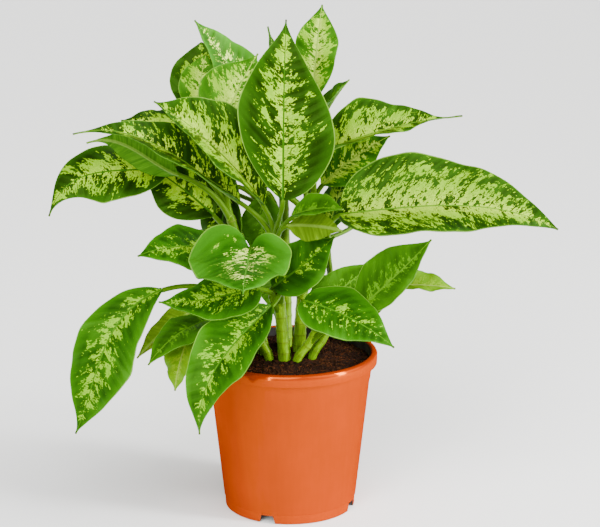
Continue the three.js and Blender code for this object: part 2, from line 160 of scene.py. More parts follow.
LEAVES = {
    "leaf_crown": {
        "cane": "cane_front", "height": 262, "base": (-6, -38, 314), "tip": (-3, -8, 479),
        "width": 92, "roll": 8, "arch": (0.04, 0.07), "fold": 15, "ripple": 2.5, "drip": 1.6,
        "skew": 12, "uneven": 0.05, "skin": "feathered",
    },
    "leaf_top_right": {
        "cane": "cane_centre", "height": 270, "base": (22, 22, 397), "tip": (31, 45, 485),
        "width": 42, "roll": 10, "fold": 12, "ripple": 2, "widest": 0.56, "skin": "creamy",
        "pattern": 0.25,
    },
    "leaf_peak_right": {
        "cane": "cane_centre", "height": 262, "base": (27, 30, 374), "tip": (56, 12, 419),
        "width": 34, "roll": 30, "fold": 30, "ripple": 1, "skin": "plain",
    },
    "leaf_upper_right": {
        "cane": "cane_centre", "height": 255, "base": (29, 0, 351), "tip": (162, -12, 389),
        "width": 74, "roll": 36, "arch": (0.05, 0.06), "fold": 52, "ripple": 3, "widest": 0.34,
        "drip": 3, "skin": "heavy", "pattern": 0.1,
    },
    "leaf_right_back": {
        "cane": "cane_centre", "height": 245, "base": (31, 22, 315), "tip": (96, 26, 362),
        "width": 48, "roll": 50, "ripple": 2, "skin": "creamy", "pattern": 0.05,
    },
    "leaf_deep_right": {
        "cane": "cane_centre", "height": 225, "base": (37, 18, 268), "tip": (61, 36, 338),
        "width": 44, "ripple": 2, "skin": "creamy",
    },
    "leaf_big_right": {
        "cane": "cane_right", "height": 206, "base": (48, -20, 296), "tip": (248, -70, 294),
        "width": 107, "roll": 42, "arch": (0.06, 0.145), "fold": 34, "ripple": 3, "widest": 0.26,
        "lobe": 12, "rise": 0.3, "drip": 1.15, "skin": "heavy", "pattern": 0.12,
    },
    "leaf_pale_centre": {
        "cane": "cane_front", "height": 240, "base": (-1, -34, 288), "tip": (49, -64, 291),
        "width": 30, "roll": -120, "ripple": 1, "skin": "pale",
    },
    "leaf_small_centre": {
        "cane": "cane_front", "height": 250, "base": (2, -44, 300), "tip": (49, -85, 317),
        "width": 35, "roll": 35, "arch": (0.08, 0.08), "fold": 36, "ripple": 1, "skin": "plain",
    },
    "leaf_front_low": {
        "cane": "cane_front", "height": 206, "base": (-30, -66, 238), "tip": (-121, -78, 227),
        "width": 60, "roll": -30, "arch": (-0.05, -0.07), "fold": 5, "ripple": 2, "widest": 0.3,
        "drip": 1.4, "rise": 0.2, "meet": 0.08, "lobe": 18, "skin": "streaked",
        "pattern": 0.25,
    },
    "leaf_front_mid": {
        "cane": "cane_front", "height": 188, "base": (-16, -36, 229), "tip": (42, -42, 280),
        "width": 54, "roll": 55, "arch": (-0.03, -0.03), "ripple": 1.5, "lobe": 8, "skin": "streaked",
        "pattern": -0.45,
    },
    "leaf_front_round": {
        "cane": "cane_front", "height": 244, "base": (-37, -46, 270), "tip": (-41, -150, 254),
        "width": 96, "arch": (-0.06, 0.12), "fold": 3, "ripple": 2.5, "widest": 0.3, "cup": 58,
        "lobe": 48, "uneven": 0.16, "drip": 0.66, "tail": 0.08, "skin": "fresh",
    },
    "leaf_mid_left": {
        "cane": "cane_left", "height": 208, "base": (-66, -18, 261), "tip": (-141, -60, 266),
        "width": 68, "roll": -28, "arch": (0.1, 0.1), "fold": 14, "ripple": 1.5, "uneven": -0.2,
        "widest": 0.36, "lobe": 6, "skin": "streaked",
    },
    "leaf_far_left": {
        "cane": "cane_far_left", "height": 284, "base": (-112, 6, 339), "tip": (-226, -32, 297),
        "width": 60, "roll": -50, "arch": (0.02, 0.39), "fold": -4, "ripple": 1.5, "widest": 0.5,
        "drip": 1.7, "skin": "feathered", "pattern": 0.22,
    },
    "leaf_shade_left": {
        "cane": "cane_far_left", "height": 225, "base": (-73, 16, 286), "tip": (-146, 34, 336),
        "width": 60, "roll": -60, "fold": 8, "ripple": 1.5, "skin": "feathered",
    },
    "leaf_long_left": {
        "cane": "cane_front", "height": 256, "base": (-47, -20, 309), "tip": (-198, -62, 382),
        "width": 64, "roll": -36, "arch": (0.06, 0.23), "fold": 42, "ripple": 2, "widest": 0.38,
        "drip": 2.2, "skin": "heavy", "pattern": -0.35,
    },
    "leaf_under_left": {
        "cane": "cane_far_left", "height": 270, "base": (-105, -16, 334), "tip": (-188, -40, 369),
        "width": 32, "roll": 75, "arch": (0, 0.25), "fold": 12, "ripple": 1.5, "drip": 2,
        "skin": "plain",
    },
    "leaf_upper_left": {
        "cane": "cane_front", "height": 264, "base": (-24, -28, 307), "tip": (-125, -34, 407),
        "width": 84, "roll": -42, "arch": (0.07, 0.07), "fold": 50, "ripple": 2.5, "widest": 0.48,
        "drip": 1.5, "skew": -14, "skin": "heavy", "pattern": 0.05,
    },
    "leaf_inner_left": {
        "cane": "cane_back", "height": 240, "base": (-60, 38, 304), "tip": (-70, 24, 236),
        "width": 50, "ripple": 1.5, "skin": "feathered", "pattern": -0.1,
    },
    "leaf_inner_centre": {
        "cane": "cane_back", "height": 246, "base": (-24, 34, 302), "tip": (-28, 22, 236),
        "width": 44, "ripple": 1.5, "skin": "plain",
    },
    "leaf_notched_left": {
        "cane": "cane_far_left", "height": 286, "base": (-71, 6, 362), "tip": (-159, 2, 382),
        "width": 58, "roll": -30, "ripple": 3, "skin": "heavy", "pattern": -0.1,
    },
    "leaf_back_left": {
        "cane": "cane_far_left", "height": 288, "base": (-87, 52, 374), "tip": (-85, 64, 446),
        "width": 60, "ripple": 2.5, "widest": 0.5, "drip": 1, "skin": "feathered", "pattern": 0.15,
    },
    "leaf_cream_left": {
        "cane": "cane_far_left", "height": 290, "base": (-89, 30, 381), "tip": (-80, 44, 437),
        "width": 41, "roll": 25, "ripple": 2, "widest": 0.5, "drip": 1, "skin": "creamy",
        "pattern": 0.1,
    },
    "leaf_peak_left": {
        "cane": "cane_back", "height": 290, "base": (-27, 46, 381), "tip": (-90, 40, 471),
        "width": 58, "roll": -45, "arch": (0.02, 0.02), "fold": 22, "ripple": 2, "widest": 0.34,
        "skin": "fresh", "pattern": 0.1,
    },
    "leaf_light_left": {
        "cane": "cane_centre", "height": 272, "base": (-67, -2, 366), "tip": (-30, 28, 441),
        "width": 72, "roll": 40, "ripple": 2, "widest": 0.5, "drip": 1.8, "skin": "creamy",
        "pattern": 0.1,
    },
    "leaf_hidden_top": {
        "cane": "cane_back", "height": 296, "base": (-6, 62, 365), "tip": (-21, 78, 459),
        "width": 44, "ripple": 2, "widest": 0.36, "drip": 2.4, "skin": "feathered", "pattern": 0.1,
    },
    "leaf_low_left": {
        "cane": "cane_left", "height": 200, "base": (-120, -40, 228), "tip": (-201, -85, 100),
        "width": 66, "roll": -35, "arch": (0.3, 0.03), "fold": 8, "ripple": 2.5, "widest": 0.54,
        "drip": 1.6, "uneven": -0.04, "skin": "streaked", "pattern": 0.12,
    },
    "leaf_pale_left": {
        "cane": "cane_left", "height": 180, "base": (-86, -15, 205), "tip": (-145, -46, 162),
        "width": 34, "roll": 70, "arch": (0.08, 0.08), "ripple": 1, "skin": "pale",
    },
    "leaf_olive_left": {
        "cane": "cane_left", "height": 185, "base": (-69, -38, 199), "tip": (-131, -92, 170),
        "width": 44, "roll": -10, "arch": (0.15, 0.15), "ripple": 1.5, "skin": "plain",
    },
    "leaf_old_left": {
        "cane": "cane_left", "height": 172, "base": (-95, -45, 185), "tip": (-108, -72, 138),
        "width": 42, "roll": 20, "arch": (0.1, 0.1), "ripple": 2, "skin": "pale",
    },
    "leaf_front_droop": {
        "cane": "cane_front", "height": 184, "base": (-17, -58, 217), "tip": (-83, -118, 111),
        "width": 66, "roll": -25, "arch": (0.12, 0.3), "fold": 28, "ripple": 3, "rise": 0.9,
        "meet": 0.5, "skin": "streaked", "pattern": -0.05,
    },
    "leaf_front_right": {
        "cane": "cane_right", "height": 190, "base": (13, -60, 223), "tip": (96, -114, 194),
        "width": 64, "roll": 25, "arch": (0.08, 0.08), "fold": 6, "ripple": 1.5, "widest": 0.34,
        "cup": 15, "lobe": 12, "skin": "streaked", "pattern": -0.22,
    },
    "leaf_lance_right": {
        "cane": "cane_right", "height": 166, "base": (61, -61, 212), "tip": (130, -84, 288),
        "width": 50, "roll": 65, "arch": (-0.02, -0.02), "fold": 8, "ripple": 2, "uneven": -0.25,
        "skin": "plain",
    },
    "leaf_pale_right": {
        "cane": "cane_far_right", "height": 205, "base": (96, -18, 225), "tip": (158, -20, 223),
        "width": 30, "roll": 40, "fold": 50, "ripple": 2, "skin": "pale",
    },
    "leaf_young_right": {
        "cane": "cane_far_right", "height": 195, "base": (84, -20, 216), "tip": (80, -30, 196),
        "width": 16, "fold": 8, "ripple": 1, "skin": "pale",
    },
    "leaf_mid_right": {
        "cane": "cane_right", "height": 180, "base": (17, -51, 199), "tip": (83, -39, 254),
        "width": 42, "roll": 70, "fold": 8, "ripple": 1.5, "skin": "plain",
    },
    "leaf_rear_right": {
        "cane": "cane_centre", "height": 240, "base": (62, 50, 268), "tip": (125, 120, 275),
        "width": 70, "arch": (0.12, 0.2), "fold": 12, "ripple": 2, "skin": "heavy",
    },
    "leaf_rear": {
        "cane": "cane_back", "height": 270, "base": (-10, 90, 310), "tip": (-20, 200, 290),
        "width": 84, "arch": (0.15, 0.25), "fold": 12, "ripple": 2.5, "skin": "feathered",
        "pattern": 0.1,
    },
    "leaf_rear_left": {
        "cane": "cane_back", "height": 262, "base": (-60, 70, 300), "tip": (-140, 130, 310),
        "width": 70, "arch": (0.12, 0.2), "fold": 12, "ripple": 2, "skin": "feathered",
    },
    "leaf_rear_low_right": {
        "cane": "cane_back", "height": 215, "base": (35, 80, 205), "tip": (66, 150, 150),
        "width": 56, "arch": (0.14, 0.3), "ripple": 2, "skin": "feathered",
    },
    "leaf_rear_low": {
        "cane": "cane_back", "height": 205, "base": (-8, 80, 232), "tip": (-15, 160, 136),
        "width": 76, "arch": (0.14, 0.3), "ripple": 2, "skin": "heavy", "pattern": -0.05,
    },
    "leaf_rear_low_left": {
        "cane": "cane_far_left", "height": 215, "base": (-49, 60, 245), "tip": (-88, 120, 236),
        "width": 52, "arch": (0.14, 0.3), "ripple": 2, "skin": "feathered", "pattern": 0.05,
    },
}
print("canes:", len(CANES), "leaves:", len(LEAVES))

# %% [markdown]
# ## A leaf blade
# A dieffenbachia blade is a long oval with a drip tip. It folds up a little on both sides of the
# midrib, arches along it, ripples at its edges, and puckers between the side veins.
# A flat grid is the natural start, because its rows and columns become the length and width of the
# blade, and its UV map comes with it. Each vertex is moved by a formula, since no hand tool gives
# forty-two blades that lie exactly where the CAD blades lie.

# %% The curve of the midrib
def unit(vector):
    return vector / np.linalg.norm(vector, axis=-1, keepdims=True)


def bezier(points, t):
    """Places and directions along a cubic curve."""
    p0, p1, p2, p3 = points
    t = np.asarray(t, float)[..., None]
    s = 1 - t
    place = s**3 * p0 + 3 * s * s * t * p1 + 3 * s * t * t * p2 + t**3 * p3
    along = s * s * (p1 - p0) + 2 * s * t * (p2 - p1) + t * t * (p3 - p2)
    return place, unit(along)


def midrib_of(leaf):
    base, tip = np.array(leaf["base"], float), np.array(leaf["tip"], float)
    length = np.linalg.norm(tip - base)
    chord = (tip - base) / length
    up = unit(up_axis - chord * chord[2])
    arch = leaf.get("arch", (0.05, 0.05))
    near = base + (0.33 * chord + arch[0] * up) * length
    far = base + (0.7 * chord + arch[1] * up) * length
    roll = math.radians(leaf.get("roll", 0))
    face = up * math.cos(roll) + np.cross(chord, up) * math.sin(roll)
    return (base, near, far, tip), np.cross(chord, face), length


# %% The outline and the surface of a blade
VEIN_SPACING = 9.0  # mm between side veins where they leave the midrib
VEIN_SWEEP, VEIN_CURL = 0.45, 0.006  # how far a vein runs forward for each mm across, and its growth
BLADE_THICKNESS = 0.9  # mm


def outline(leaf, u):
    widest = leaf.get("widest", 0.42)
    lower = np.clip(1 - (1 - u / widest) ** 2, 0, 1) ** 0.75
    drip = np.clip((u - widest) / (1 - widest), 0, 1)
    upper = (1 - drip**1.8) ** leaf.get("drip", 1.4)
    return np.where(u < widest, lower, upper)


def vein_line(across, along):
    """Where the side vein through this place leaves the midrib. Veins sweep forward to the edge."""
    return along - np.abs(across) * (VEIN_SWEEP + VEIN_CURL * np.abs(across))


def blade_surface(leaf, u, v, depth=0.0):
    """Places in mm: u from base to tip, v from -1 to 1 across, depth below the upper face."""
    points, side0, length = midrib_of(leaf)
    place, along = bezier(points, u)
    side = unit(side0 - along * (along @ side0)[..., None])
    face = unit(np.cross(side, along))
    tail = leaf.get("tail", 0)
    share = outline(leaf, np.minimum(u / (1 - tail), 1)) * (1 + np.sign(v) * leaf.get("uneven", 0))
    half = np.maximum(0.5 * leaf["width"] * share, np.where(u < 0.5, 2.2, 0.8))
    swell = np.sin(np.pi * u)  # nothing at the base and the tip, and one in the middle
    # No two margins are alike: each half has its own slow dents, a few hundredths of its width.
    sway = np.where(v > 0, 1.0, 2.6) + 0.37 * leaf["height"]
    dents = np.sin(9.3 * u + sway) + 0.6 * np.sin(21 * u + 2 * sway)
    half = half * (1 + 0.02 * swell * dents)
    raised = leaf.get("fold", 10) * (1 - 0.4 * u) + leaf.get("cup", 8) * (1 - u) ** 6
    raised = np.radians(raised)
    off_middle = np.abs(v)
    phase = np.where(v > 0, 0.4, 2.1)
    wave = leaf["ripple"] * swell * np.sin(5.5 * np.pi * u + phase) * off_middle**1.6
    frill = 0.22 * leaf["ripple"] * swell * np.sin(15 * np.pi * u + 2 * phase) * off_middle**4
    across = v * half
    pucker = 0.24 * swell * np.cos(2 * np.pi * vein_line(across, u * length) / VEIN_SPACING)
    pucker = pucker * np.clip(4 * off_middle * (1 - off_middle), 0, 1)
    groove = -0.5 * (1 - u) * np.exp(-((across / 1.3) ** 2))
    lift = off_middle * half * np.sin(raised) - 0.1 * half * v * v + wave + frill + pucker + groove
    set_back = leaf.get("skew", 0) * v + leaf.get("lobe", 0) * off_middle**1.5 * (1 - u) ** 4
    place = place + side * (across * np.cos(raised))[..., None] + face * lift[..., None]
    place = place - along * (set_back * share)[..., None]
    rib = (2.4 * (1 - u) + 0.3) * np.exp(-((across / (2.2 - 1.2 * u)) ** 2))
    place = place - face * (depth * (BLADE_THICKNESS + rib))[..., None]
    return place, across, u * length


# %% Selection and vertex helpers
def deselect_all():
    if bpy.context.object and bpy.context.object.mode != "OBJECT":
        bpy.ops.object.mode_set(mode="OBJECT")
    bpy.ops.object.select_all(action="DESELECT")


def vertex_array(mesh):
    flat = np.empty(len(mesh.vertices) * 3)
    mesh.vertices.foreach_get("co", flat)
    return flat.reshape(-1, 3)


def set_vertices(mesh, places):
    mesh.vertices.foreach_set("co", np.asarray(places, float).ravel())
    mesh.update()


def selected_vertices(mesh):
    flags = np.empty(len(mesh.vertices), bool)
    mesh.vertices.foreach_get("select", flags)
    return flags


def store_vector(mesh, name, values):
    attribute = mesh.attributes.new(name, "FLOAT_VECTOR", "POINT")
    attribute.data.foreach_set("vector", np.asarray(values, float).ravel())


# %% Make one blade from a grid
ROW_LENGTH, COLUMN_PAIR_WIDTH = 2.6, 4.8  # mm, about the size of the grid's cells
NOISE_STEP = 5.3  # mm between the noise of one blade and that of the next


def make_blade(name, leaf, seed):
    length = midrib_of(leaf)[2]
    rows = max(24, round(length / ROW_LENGTH))
    columns = max(14, 2 * round(leaf["width"] / COLUMN_PAIR_WIDTH))
    deselect_all()
    bpy.ops.mesh.primitive_grid_add(x_subdivisions=columns, y_subdivisions=rows, size=2)
    piece = bpy.context.object
    piece.name = piece.data.name = name.replace("leaf_", "blade_")
    grid = vertex_array(piece.data)
    v, u = grid[:, 0], np.clip((grid[:, 1] + 1) / 2, 0, 1) ** 1.1
    pattern = np.full_like(u, leaf.get("pattern", 0))
    store_vector(piece.data, "blade_share", np.stack([v, u, pattern], 1))
    # Extruding the whole sheet in place closes it: what stays behind becomes the underside.
    bpy.ops.object.mode_set(mode="EDIT")
    bpy.ops.mesh.select_all(action="SELECT")
    bpy.ops.mesh.extrude_region_move(TRANSFORM_OT_translate={"value": (0, 0, 0)})
    bpy.ops.object.mode_set(mode="OBJECT")
    mesh = piece.data
    is_upper = selected_vertices(mesh)
    shares = np.empty(len(mesh.vertices) * 3)
    mesh.attributes["blade_share"].data.foreach_get("vector", shares)
    v, u, _ = shares.reshape(-1, 3).T
    places, across, along = blade_surface(leaf, u, v, depth=1.0 - is_upper)
    set_vertices(mesh, places * MM)
    store_vector(mesh, "blade_place", np.stack([across, along, np.full_like(u, NOISE_STEP * seed)], 1))
    for polygon in mesh.polygons:
        polygon.material_index = 0 if all(is_upper[i] for i in polygon.vertices) else 1
    bpy.ops.object.mode_set(mode="EDIT")
    bpy.ops.mesh.select_all(action="SELECT")
    bpy.ops.mesh.normals_make_consistent(inside=False)
    bpy.ops.object.mode_set(mode="OBJECT")
    bpy.ops.object.shade_smooth_by_angle(angle=math.radians(50))
    return piece


# %% [markdown]
# ## Leaf skins
# A living leaf has a waxy skin with broad soft highlights, so its roughness is about 0.36. Its specular
# level is low and tinted green, or a soft light would veil the pattern in white. The speckles of a
# dieffenbachia are tissue without green. They begin at the midrib and break up along the side veins
# into feathers. So the pattern is made of noise that is stretched along the veins, and is cut off by a
# threshold that rises towards the edge. It is read from the blade's own attributes, so it bends with
# the blade and keeps its real size. A thin blade also lets a little light through.

# %% Coordinates that follow the side veins
SHINE_THROUGH = 0.12  # the share of the shading that is light from behind


def vein_space(tree):
    """The distance from the midrib, a wave that is highest between side veins, and places, in mm."""
    place = add(tree, "Attribute", attribute_name="blade_place").node.outputs["Vector"]
    x, y, seed = add(tree, "SeparateXYZ", [place]).node.outputs
    off_x = add(tree, "Math", [x], operation="ABSOLUTE")
    sweep = add(tree, "Math", [off_x, VEIN_CURL, VEIN_SWEEP], operation="MULTIPLY_ADD")
    sweep = add(tree, "Math", [sweep, off_x], operation="MULTIPLY")
    vein = add(tree, "Math", [y, sweep], operation="SUBTRACT")
    wave = add(tree, "Math", [vein, 2 * math.pi / VEIN_SPACING], operation="MULTIPLY")
    wave = add(tree, "Math", [wave], operation="COSINE")
    return off_x, wave, add(tree, "CombineXYZ", [vein, x, seed])


def finish_blade(tree, skin, colour, relief):
    """Mixes the light that comes through the blade with its skin, and ends the material."""
    glow = add(tree, "BsdfTranslucent", {"Color": colour, "Normal": relief})
    both = add(tree, "MixShader", [SHINE_THROUGH, skin, glow])
    add(tree, "OutputMaterial", [both])


# %% The material of a leaf's upper face
# How wide and long each kind of mark is, in mm, and how detailed: the streaks, the clumps that they
# form, the dark islands between the clumps, and specks.
MARKS = ((2.5, 5.0, 3.0), (8.0, 11.0, 2.0), (18.0, 20.0, 1.0), (1.2, 1.8, 1.0))


def leaf_skin(name, deep, margin, speckle, cream, amount, reach, patchy, creamy, rib, gloss=0.36):
    """amount and reach, of the half width, say how far the feathers spread. patchy breaks them up."""
    material, tree = new_material(name)
    off_x, wave, along_veins = vein_space(tree)
    share = add(tree, "Attribute", attribute_name="blade_share").node.outputs["Vector"]
    v, u, extra = add(tree, "SeparateXYZ", [share]).node.outputs
    off_v = add(tree, "Math", [v], operation="ABSOLUTE")
    grains = []
    for width, length, detail in MARKS:
        stretch = (1 / width, 1 / length, 1.0)
        grain = add(tree, "VectorMath", [along_veins, stretch], operation="MULTIPLY")
        grain = add(tree, "TexNoise", {
            "Vector": grain, "Scale": 1.0, "Detail": detail, "Roughness": 0.6,
        })
        grains.append(add(tree, "Math", [grain, 0.5], operation="SUBTRACT"))
    streak, clump, patch, speck = grains
    # The marks thin out away from the midrib and towards the tip.
    spread = add(tree, "Math", [off_v, 1 / reach], operation="MULTIPLY")
    spread = add(tree, "Math", [spread, 2.0], operation="POWER")
    fill = add(tree, "Math", [extra, amount], operation="ADD")
    fill = add(tree, "Math", [fill, spread], operation="SUBTRACT")
    for grain, weight in ((streak, 5.0), (clump, 5.0), (patch, patchy), (speck, 2.8)):
        fill = add(tree, "Math", [grain, weight, fill], operation="MULTIPLY_ADD")
    tip_fade = add(tree, "MapRange", {"Value": u, "From Min": 0.8, "From Max": 1.0, "To Max": 1.2})
    fill = add(tree, "Math", [fill, tip_fade], operation="SUBTRACT")
    marked = add(tree, "MapRange", {"Value": fill, "From Min": -0.08, "From Max": 0.1})
    # The green between the feathers is nearly black, and it is fresher outside them.
    to_margin = add(tree, "MapRange", {"Value": off_v, "From Min": reach, "From Max": reach + 0.35})
    green = add(tree, "Mix", {MIX_BY: to_margin, MIX_A: linear(deep), MIX_B: linear(margin)},
                data_type="RGBA").node.outputs[MIXED]
    cloudy = add(tree, "Math", [patch, 2.0, 0.15], operation="MULTIPLY_ADD")
    green = add(tree, "Mix", {MIX_BY: cloudy, MIX_A: green, MIX_B: linear(margin)},
                data_type="RGBA", clamp_factor=True).node.outputs[MIXED]
    # Painted sheen: the puckers between two side veins are painted lighter than the tissue over the
    # veins, as if they caught the light.
    ridge = add(tree, "Math", [wave, 0.35, 0.5], operation="MULTIPLY_ADD")
    painted_ridge_sheen = add(tree, "Math", [ridge, ridge], operation="MULTIPLY")
    painted_ridge_sheen = add(tree, "Math", [painted_ridge_sheen, 0.3], operation="MULTIPLY")
    green = add(tree, "Mix", {MIX_BY: painted_ridge_sheen, MIX_A: green, MIX_B: linear(margin)},
                data_type="RGBA").node.outputs[MIXED]
    # The marks are creamy near the midrib and yellow-green away from it.
    near_rib = add(tree, "MapRange", {
        "Value": off_v, "From Min": 0.05, "From Max": 0.6, "To Min": creamy, "To Max": -0.3,
    })
    pale = add(tree, "Math", [speck, 1.6, near_rib], operation="MULTIPLY_ADD")
    light = add(tree, "Mix", {MIX_BY: pale, MIX_A: linear(speckle), MIX_B: linear(cream)},
                data_type="RGBA", clamp_factor=True).node.outputs[MIXED]
    colour = add(tree, "Mix", {MIX_BY: marked, MIX_A: green, MIX_B: light},
                 data_type="RGBA").node.outputs[MIXED]
    # The midrib narrows towards the tip, the edge is a thin pale line, and the tip is dry.
    rib_width = add(tree, "MapRange", {"Value": u, "To Min": 1.2, "To Max": 0.25})
    on_rib = add(tree, "Math", [off_x, rib_width], operation="DIVIDE")
    on_rib = add(tree, "MapRange", {"Value": on_rib, "From Min": 1.2, "From Max": 0.8})
    on_edge = add(tree, "MapRange", {"Value": off_v, "From Min": 0.97, "From Max": 0.99, "To Max": 0.6})
    dry = add(tree, "MapRange", {"Value": u, "From Min": 0.975, "From Max": 1.0})
    for line, tint in ((on_rib, rib), (on_edge, "#7FA63C"), (dry, "#2A2A0E")):
        colour = add(tree, "Mix", {MIX_BY: line, MIX_A: colour, MIX_B: linear(tint)},
                     data_type="RGBA").node.outputs[MIXED]
    # Relief: the puckers between the side veins, and finer veins along them.
    fine = add(tree, "VectorMath", [along_veins, (1 / 1.6, 1 / 25, 1.0)], operation="MULTIPLY")
    fine = add(tree, "TexNoise", {"Vector": fine, "Scale": 1.0, "Detail": 2.0})
    height = add(tree, "Math", [fine, 0.9, ridge], operation="MULTIPLY_ADD")
    relief = add(tree, "Bump", {"Height": height, "Strength": 0.5, "Distance": 0.5 * MM})
    waxy = add(tree, "Math", [fine, 0.14, gloss - 0.07], operation="MULTIPLY_ADD")
    skin = add(tree, "BsdfPrincipled", {
        "Base Color": colour, "Roughness": waxy, "Normal": relief,
        "Specular IOR Level": 0.3, "Specular Tint": (0.3, 0.7, 0.08, 1.0),
    })
    finish_blade(tree, skin, colour, relief)
    return material


# %% The skins of this plant
SKINS = {
    "feathered": leaf_skin("waxy_leaf_feathered", "#0A1E00", "#224C03", "#74A400", "#AED028",
                           amount=-0.2, reach=0.72, patchy=4.0, creamy=0.3, rib="#2A5806"),
    "streaked": leaf_skin("waxy_leaf_thinly_streaked", "#153C02", "#306A07", "#6EA408", "#90BE12",
                          amount=-0.2, reach=0.66, patchy=1.8, creamy=0.4, rib="#3C6E0E"),
    "heavy": leaf_skin("waxy_leaf_heavily_speckled", "#0E2602", "#2A5806", "#76A402", "#B8D638",
                       amount=0.2, reach=0.85, patchy=2.4, creamy=0.5, rib="#527E14"),
    "fresh": leaf_skin("waxy_leaf_fresh_streaked", "#1C4A04", "#387612", "#84AE20", "#CCE266",
                       amount=-0.3, reach=0.6, patchy=2.4, creamy=1.0, rib="#48801C"),
    "creamy": leaf_skin("waxy_leaf_cream_centred", "#1E4E02", "#407E0A", "#80AE10", "#BCD64A",
                        amount=0.05, reach=0.85, patchy=2.8, creamy=0.7, rib="#86A834"),
    "plain": leaf_skin("waxy_leaf_plain_green", "#204602", "#336606", "#447A08", "#5E900E",
                       amount=-0.1, reach=0.5, patchy=2.0, creamy=0.3, rib="#4C7C14"),
    "pale": leaf_skin("waxy_leaf_pale_young", "#628E00", "#548404", "#72980A", "#8CAC24",
                      amount=0.0, reach=0.7, patchy=1.6, creamy=0.6, rib="#92AC44", gloss=0.42),
}
print("leaf skins:", ", ".join(SKINS))


# %% The underside of a leaf
def underside_skin(name, shade, middle, light):
    """Matte and paler than the upper face, because the underside has breathing pores and less wax."""
    material, tree = new_material(name)
    off_x, wave, along_veins = vein_space(tree)
    fine = add(tree, "VectorMath", [along_veins, (1 / 2.2, 1 / 18, 1.0)], operation="MULTIPLY")
    fine = add(tree, "TexNoise", {"Vector": fine, "Scale": 1.0, "Detail": 3.0})
    colour = ramp(tree, fine, [(0.3, shade), (0.55, middle), (0.8, light)])
    rib = add(tree, "MapRange", {"Value": off_x, "From Min": 1.9, "From Max": 1.1, "To Max": 0.4})
    colour = add(tree, "Mix", {MIX_BY: rib, MIX_A: colour, MIX_B: linear("#86A840")},
                 data_type="RGBA").node.outputs[MIXED]
    height = add(tree, "Math", [wave, 0.4, fine], operation="MULTIPLY_ADD")
    relief = add(tree, "Bump", {"Height": height, "Strength": 0.6, "Distance": 0.5 * MM})
    skin = add(tree, "BsdfPrincipled", {
        "Base Color": colour, "Roughness": 0.55, "Normal": relief,
        "Specular IOR Level": 0.3, "Specular Tint": (0.3, 0.6, 0.1, 1.0),
    })
    finish_blade(tree, skin, colour, relief)
    return material


GREEN_UNDERSIDE = underside_skin("leaf_underside", "#244E04", "#38680A", "#4E7E14")
PALE_UNDERSIDE = underside_skin("leaf_underside_pale_young", "#446402", "#547806", "#688C12")

# %% Make every blade
faces = 0
for seed, (name, leaf) in enumerate(LEAVES.items(), 1):
    blade = make_blade(name, leaf, seed)
    blade.data.materials.append(SKINS[leaf["skin"]])
    blade.data.materials.append(PALE_UNDERSIDE if leaf["skin"] == "pale" else GREEN_UNDERSIDE)
    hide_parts(name)
    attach(blade, "root")
    faces += len(blade.data.polygons)
print("blades:", len(LEAVES), "faces:", faces)

# %% [markdown]
# ## Canes and leaf stalks
# A cane is a fleshy green stem with a scar ring at each place where an old leaf fell off. A leaf stalk
# leaves it along a sheath and has a groove on its upper side. Both are tubes along a curve, so a
# grid is rolled up along the curve, its seam is merged and its ends are filled. The stalks are then
# joined to their cane by one Boolean union.

# %% The curve of a cane
SOIL_CROWN = 151.0  # mm, the height of the soil in the middle
CANE_DEPTH = 27.6  # mm, how far a cane reaches below it


def cane_path(cane, count=400):
    """Evenly spaced places along the cane, through its points by a centripetal Catmull-Rom curve."""
    x, y = cane["foot"]
    knots = np.array([(x, y, SOIL_CROWN - CANE_DEPTH), (x, y, SOIL_CROWN + 1), *cane["through"]], float)
    knots = np.vstack([2 * knots[0] - knots[1], knots, 2 * knots[-1] - knots[-2]])
    dense = []
    for p0, p1, p2, p3 in zip(knots, knots[1:], knots[2:], knots[3:]):
        d0, d1, d2 = (math.sqrt(np.linalg.norm(b - a)) for a, b in ((p0, p1), (p1, p2), (p2, p3)))
        m1 = ((p1 - p0) / d0 - (p2 - p0) / (d0 + d1) + (p2 - p1) / d1) * d1
        m2 = ((p2 - p1) / d1 - (p3 - p1) / (d1 + d2) + (p3 - p2) / d2) * d1
        t = np.linspace(0, 1, 60, endpoint=False)[:, None]
        dense.append(
            p1 + m1 * t + (3 * (p2 - p1) - 2 * m1 - m2) * t**2 + (2 * (p1 - p2) + m1 + m2) * t**3
        )
    dense = np.vstack([*dense, knots[-2:-1]])
    run = np.r_[0, np.cumsum(np.linalg.norm(np.diff(dense, axis=0), axis=1))]
    even = np.linspace(0, run[-1], count)
    return np.stack([np.interp(even, run, dense[:, k]) for k in range(3)], 1), run[-1]


